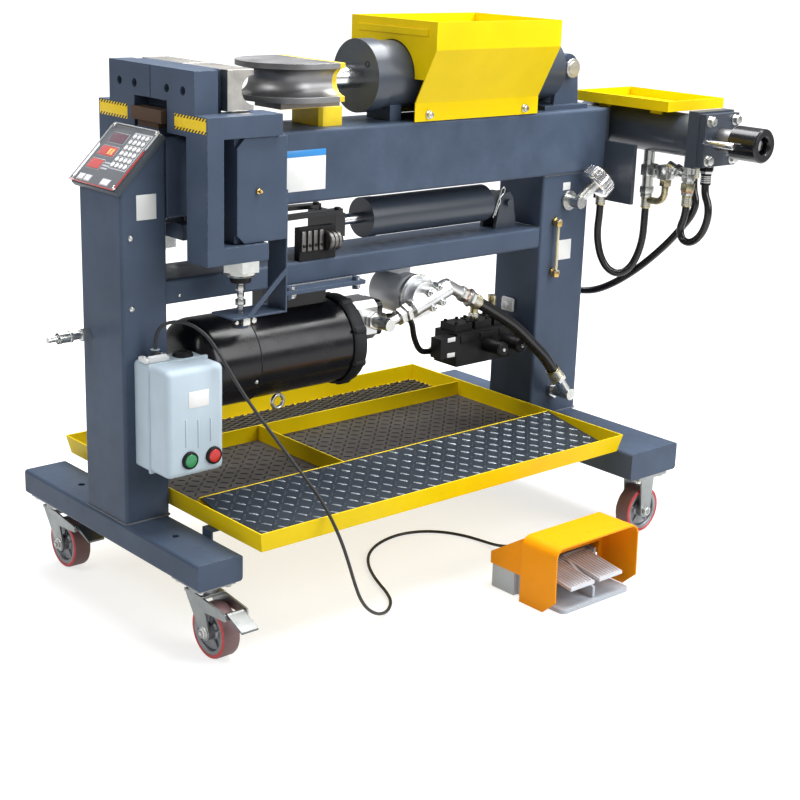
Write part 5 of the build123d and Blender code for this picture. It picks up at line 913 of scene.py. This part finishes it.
def frame_screws():
    """Screws and bolts of column, hopper, expander and motor plate, then brass nipples and the tank's gauge."""
    bm = bmesh.new()
    for z in (902, 743):
        button_screw(bm, at(-35, -COLUMN_FACE, z), FRONT, 7)
    for x in (833, 1173):
        for side, way in SIDES:
            bolt(bm, at(x, side * BEAM_FACE, 1127), way, 16)
    for side_x, side_z in CORNERS:
        place = at(EXPANDER_X + side_x * 53, -416, EXPANDER_Z + side_z * 52)
        rod(bm, place, FRONT, 15, 2.5, sides=28, edge=0.4)
        hexagon(bm, place + FRONT * 2 * MM, FRONT, 22, 13)
    rod(bm, at(1538, -410, 1052), FRONT, 9, 96, edge=1.5, finish=1)
    for x in (393, 592):
        for y in (-113, 73):
            bolt(bm, at(x, y, 728), DOWN, 17)
            hexagon(bm, at(x, y, 738), UP, 17, 8)
    rod(bm, at(96, -81, 756), FRONT, 3.2, 1.2, sides=16, edge=0.3)
    piece("frame_screws", bm, "frame", [zinc, bright_steel])
    brass_bits = bmesh.new()
    for side, way in SIDES:
        hexagon(brass_bits, at(220, side * 212, 1003), way, 12, 4)
        lathe(brass_bits, at(220, side * 216, 1003), way,
              [(0, 3.6), (4, 3.6), (6, 2.6), (8, 4.0), (10, 3.0), (10.5, 0)], sides=20)
    for z in GAUGE_Z:
        hexagon(brass_bits, at(GAUGE_X, GAUGE_Y, z - 12), UP, 21, 16)
        hexagon(brass_bits, at(GAUGE_X, -86, z), FRONT, 20, 9)
    rod(brass_bits, at(GAUGE_X, GAUGE_Y, GAUGE_Z[0] + 8), UP, 4.7, 124, sides=20, edge=0.4, finish=1)
    piece("brass_fittings", brass_bits, "frame", [brass, gauge_glass])


def weld_beads():
    bm = bmesh.new()
    for side in (-1, 1):
        weld(bm, at(362, side * 82, 738.5), RIGHT, 248, 4)
        weld(bm, at(-59, side * COLUMN_FACE, 234), RIGHT, 118, 3.5)
        weld(bm, at(1270, side * TANK_FACE, 248), RIGHT, 186, 3.5)
        for z in (889, 1121):
            weld(bm, at(164, side * BEAM_FACE, z), RIGHT, 134, 3)
    for x, half, z, width in ((-59, COLUMN_FACE, 234, 3.5), (59, COLUMN_FACE, 234, 3.5), (1270, TANK_FACE, 248, 3.5),
                              (1456, TANK_FACE, 248, 3.5), (59, 81, 795, 3), (1270, 81, 795, 3),
                              (59, BEAM_FACE, 938, 3)):
        weld(bm, at(x, -half, z), BACK, 2 * half, width)
    weld(bm, at(1270, -TANK_FACE, 938), RIGHT, 186, 3)
    piece("weld_beads", bm, "frame", [weld_grey], crease=50)


def bare_plates():
    """Plain plates on the column, the beam and the tank."""
    bm = bmesh.new()
    for x, face, z, thick, finish in (
            ((-19, 32), COLUMN_FACE, (940, 996), 0.7, 0), ((372, 505), BEAM_FACE, (968, 1065), 0.7, 0),
            ((372, 505), BEAM_FACE, (1049, 1065), 0.9, 1), ((1346, 1396), TANK_FACE, (697, 753), 0.7, 0),
            ((1349, 1378), TANK_FACE, (893, 914), 0.7, 0)):
        block(bm, x, (-face - thick, -face), z, edge=0.2, finish=finish)
    piece("bare_plates", bm, "frame", [plate_white, plate_blue])


gate_patch("front_gate", -1)
gate_patch("rear_gate", 1)
sensor_coupling()
sensor_screws()
frame_screws()
weld_beads()
bare_plates()


# Motor, valves and tank

MOTOR_Y, MOTOR_Z, COWL_RADIUS = -20, 568, 112
VALVE_PITCH, RIB_PITCH = 220 / 3, 18


def on_motor(x, angle, radius):
    return at(x, MOTOR_Y + cos(angle) * radius, MOTOR_Z + sin(angle) * radius)


def motor_details():
    """End casting with ears, their bolts, and the ring and screws of the cowl."""
    casting, bolts = bmesh.new(), bmesh.new()
    lathe(casting, at(578, MOTOR_Y, MOTOR_Z), RIGHT,
          [(0, 106), (0, 112), (5, 115), (34, 115), (39.5, 112), (39.5, 104), (0, 104)], sides=72, closed=True)
    for step in range(8):
        angle = radians(22.5 + 45 * step)
        rod(casting, on_motor(582, angle, 106), RIGHT, 13, 34, sides=20, edge=2.0)
        bolt(bolts, on_motor(582, angle, COWL_RADIUS), LEFT, 10)
    lathe(bolts, at(292, MOTOR_Y, MOTOR_Z), RIGHT, [(0, 110), (0, 112.8), (2.5, 112.8), (2.5, 110)], sides=72,
          closed=True)
    for angle in (radians(200), radians(320)):
        button_screw(bolts, on_motor(281, angle, COWL_RADIUS), Vector((0, cos(angle), sin(angle))), 5, finish=1)
    piece("motor_end_casting", casting, "frame", [cast_black])
    piece("motor_bolts", bolts, "frame", [valve_black, zinc])


def valve_details():
    """Coil caps, tags, port sleeves and ribs on the two valve blocks."""
    bm = bmesh.new()
    for x in (1120, 1193):
        lathe(bm, at(x, -101, 478), FRONT, [(0, 19), (2, 21), (10, 21), (12, 19), (14, 12), (14, 0)], sides=32)
        rod(bm, at(x, -114, 478), FRONT, 5, 4, sides=20, finish=1)
    for index in range(3):
        left = 1010 + index * VALVE_PITCH
        for x in (left + 16, left + 58):
            for y in (-22, 22):
                lathe(bm, at(x, y, 544), UP, [(0, 5), (5, 5), (6, 4.4), (6, 2.6), (2, 2.6), (2, 0)], sides=16,
                      finish=2)
        block(bm, (left + 12, left + 62), (-48, -44.5), (496, 516), edge=1.0)
    for z in (505, 462):
        block(bm, (974, 1002), (-46.4, -45), (z, z + 12), edge=0.3, finish=3)
    for x in (1112, 1180):
        lathe(bm, at(x, 0, 544), UP, [(0, 15), (10, 15), (10, 12), (44, 12), (46, 13), (58, 13), (58, 0)], sides=24,
              finish=4)
        hexagon(bm, at(x, 0, 548), UP, 28, 12, finish=1)
    for index in range(4):
        left = 443 + index * RIB_PITCH
        block(bm, (left, left + 13), (-85, -79), (818, 868), edge=2, finish=5)
        rod(bm, at(left + 6.5, -84, 832), FRONT, 4, 4, sides=16, finish=2)
    lathe(bm, at(514, -84, 838), RIGHT,
          [(0, 0), (0, 22), (3, 25), (9, 25), (10, 22.5), (14, 22.5), (15, 25), (21, 25), (22, 22.5), (26, 22.5),
           (27, 25), (34, 25), (36, 22), (36, 0)], sides=36, finish=5)
    block(bm, (1258, 1269.5), (-4, 42), (541, 581), edge=5, finish=3)
    rod(bm, at(1258, 19, 561), LEFT, 9, 14, sides=24, edge=2, finish=3)
    piece("valve_details", bm, "frame", [valve_black, zinc, black_plastic, white_plastic, olive_zinc, valve_metal])


def filter_details():
    """Bright rim and screw bosses of the oil filter."""
    bm = bmesh.new()
    lathe(bm, at(815, -95.5, 663), BACK, [(0, 50), (0, 57), (1.5, 58.6), (11, 58.6), (12.5, 57), (12.5, 50)],
          sides=64, closed=True)
    for along, side in ((58, 1), (92, 1), (58, -1), (92, -1)):
        across = Vector((-FILTER_RUN.z, 0, FILTER_RUN.x)) * side * 22
        place = at(767, FILTER_Y, 642) + (FILTER_RUN * along + across) * MM
        rod(bm, place + BACK * 6 * MM, FRONT, 10, 26, sides=24, edge=2.0)
        lathe(bm, place + FRONT * 20 * MM, FRONT, [(0, 6), (5, 6), (6, 5), (6, 3), (2, 3), (2, 0)], sides=18,
              finish=1)
    piece("filter_details", bm, "frame", [zinc, bright_steel])


FILLER_TURN = Vector((0.72, -0.2, 0.66)).normalized()
FILLER_END = at(1372, -121.5, 864) + FILLER_TURN * 62 * MM
CAP_RADIUS, CAP_SKIRT, CAP_SEAT = 47.0, 29.0, 7.0
FLUTES, FLUTE_DEPTH = 24, 0.925


def breather_cap():
    """Chromed cap with flutes round its skirt and a dished top."""
    bm = bmesh.new()
    lathe(bm, FILLER_END, FILLER_TURN, [(0.2, 14.5), (0.2, 40), (3, 42), (CAP_SEAT, 42), (CAP_SEAT, 14.5)], sides=48,
          closed=True)
    neck = facing(FILLER_END, FILLER_TURN)
    skirt = bmesh.ops.create_cone(bm, cap_ends=True, cap_tris=False, segments=96, radius1=CAP_RADIUS * MM,
                                  radius2=(CAP_RADIUS - 1) * MM, depth=CAP_SKIRT * MM,
                                  matrix=neck @ Matrix.Translation((0, 0, (CAP_SEAT + CAP_SKIRT / 2) * MM)))["verts"]
    for vert in skirt:
        local = neck.inverted() @ vert.co
        if cos(FLUTES * local.xy.angle_signed(Vector((1, 0)))) < -0.2:
            vert.co = neck @ Vector((local.x * FLUTE_DEPTH, local.y * FLUTE_DEPTH, local.z))
    lathe(bm, FILLER_END + FILLER_TURN * (CAP_SEAT + CAP_SKIRT) * MM, FILLER_TURN,
          [(0, 45), (3, 45), (7, 42), (9.6, 36), (9.8, 33), (7.5, 30), (7.0, 0)], sides=48)
    piece("breather_cap_fluted", bm, "breather_cap", [chrome], stands_for=["breather_cap"], crease=25)


motor_details()
valve_details()
filter_details()
breather_cap()


# Clevis and cylinder ends


def clevis_details():
    """Pin heads of the clevis, the plugged port in the cylinder's gland and a bent wire clip."""
    bm = bmesh.new()
    for side, way in SIDES:
        lathe(bm, at(1385, side * 60.4, 1221), way, [(0, 26), (3, 26), (4, 25), (4, 19), (6, 18), (6, 0)], sides=40)
    lathe(bm, at(667.5, -44, 1252), LEFT, [(-2, 8), (0.6, 8), (0.6, 5.5), (-1, 5), (-1, 0)], sides=24, finish=1)
    clip = [(1121, 832), (1149, 907), (1156, 913), (1162, 907), (1158, 896), (1143, 884), (1147, 872), (1140, 864),
            (1133, 850), (1129, 838)]
    for (x, z), (next_x, next_z) in zip(clip, clip[1:]):
        run = at(next_x, -47, next_z) - at(x, -47, z)
        rod(bm, at(x, -47, z), run, 1.9, run.length / MM + 0.6, sides=10, edge=0)
    piece("cylinder_screws", bm, "frame", [zinc, valve_black])


clevis_details()


# Studio: pale floor, soft lights, camera at the photographed angle

# The floor and the sky are white to the eye and send less light to the machine than they show.
FLOOR_NEAR, FLOOR_FAR = 3.0, 9.0
FLOOR_GLOW, NEAR_WHITE, FAR_WHITE = 1.05, 1.9, 2.9
SKY_GLOW, SKY_WHITE = 0.28, 1.05
soft_lights = {
    "front_softbox": ((1.8, -4.2, 3.0), (0, 0, 0.7), 3.0, 185),
    "top_softbox": ((1.3, -0.2, 4.6), (0.2, 0, 0), 3.5, 500),
    "back_softbox": ((0.6, 3.2, 5.6), (0, 0, 0.5), 3.0, 260),
    "left_fill": ((-3.4, 0.4, 3.2), (0, 0, 0.8), 1.8, 52),
}


def studio_floor():
    bm = bmesh.new()
    bmesh.ops.create_grid(bm, x_segments=1, y_segments=1, size=40)
    mesh = bpy.data.meshes.new("studio_floor")
    bm.to_mesh(mesh)
    bm.free()
    pale = Finish("pale studio floor")
    tone = pale.blend(pale.noise(0.7), (0.36, 0.36, 0.36), (0.38, 0.38, 0.38))
    pale.feed("Base Color", tone)
    pale.feed("Emission Color", tone)
    distance = pale.grow("ShaderNodeVectorMath", {0: pale.place}, operation="LENGTH").outputs["Value"]
    white = pale.spread(distance, FLOOR_NEAR, FLOOR_FAR, NEAR_WHITE, FAR_WHITE)
    seen = pale.grow("ShaderNodeLightPath").outputs["Is Camera Ray"]
    pale.feed("Emission Strength", pale.spread(seen, 0, 1, FLOOR_GLOW, white))
    pale.feed("Roughness", 0.9)
    mesh.materials.append(pale.material)
    floor = bpy.data.objects.new("studio_floor", mesh)
    bpy.context.scene.collection.objects.link(floor)


def studio_light():
    world = bpy.data.worlds.new("studio")
    bpy.context.scene.world = world
    world.use_nodes = True
    nodes, links = world.node_tree.nodes, world.node_tree.links
    nodes["Background"].inputs["Color"].default_value = (1.0, 1.0, 1.0, 1.0)
    strength = nodes.new("ShaderNodeMapRange")
    strength.inputs["To Min"].default_value = SKY_GLOW
    strength.inputs["To Max"].default_value = SKY_WHITE
    links.new(nodes.new("ShaderNodeLightPath").outputs["Is Camera Ray"], strength.inputs["Value"])
    links.new(strength.outputs["Result"], nodes["Background"].inputs["Strength"])
    for name, (place, target, size, power) in soft_lights.items():
        lamp = bpy.data.lights.new(name, "AREA")
        lamp.shape = "SQUARE"
        lamp.size = size
        lamp.energy = power
        made = bpy.data.objects.new(name, lamp)
        made.location = place
        made.rotation_euler = (Vector(target) - Vector(place)).to_track_quat("-Z", "Y").to_euler()
        bpy.context.scene.collection.objects.link(made)


CAMERA_PLACE = (-1796.9, -2978.1, 1570.6)
CAMERA_YAW, CAMERA_PITCH, CAMERA_ROLL = 41.48, -16.80, 1.879


def camera():
    yaw, pitch, roll = radians(CAMERA_YAW), radians(CAMERA_PITCH), radians(CAMERA_ROLL)
    ahead = Vector((sin(yaw) * cos(pitch), cos(yaw) * cos(pitch), sin(pitch)))
    level = Vector((cos(yaw), -sin(yaw), 0))
    upright = level.cross(ahead)
    across = level * cos(roll) + upright * sin(roll)
    above = upright * cos(roll) - level * sin(roll)
    lens = bpy.data.cameras.new("photo_camera")
    lens.sensor_width = 36.0
    lens.sensor_fit = "HORIZONTAL"
    lens.lens = 69.47
    lens.shift_x = 0.0045
    lens.shift_y = -0.0064
    lens.clip_end = 100.0
    made = bpy.data.objects.new("photo_camera", lens)
    turn = Matrix((across, above, -ahead)).transposed().to_4x4()
    made.matrix_world = Matrix.Translation(at(*CAMERA_PLACE)) @ turn
    bpy.context.scene.collection.objects.link(made)
    bpy.context.scene.camera = made


studio_floor()
studio_light()
camera()
bpy.context.scene.view_settings.view_transform = "Standard"
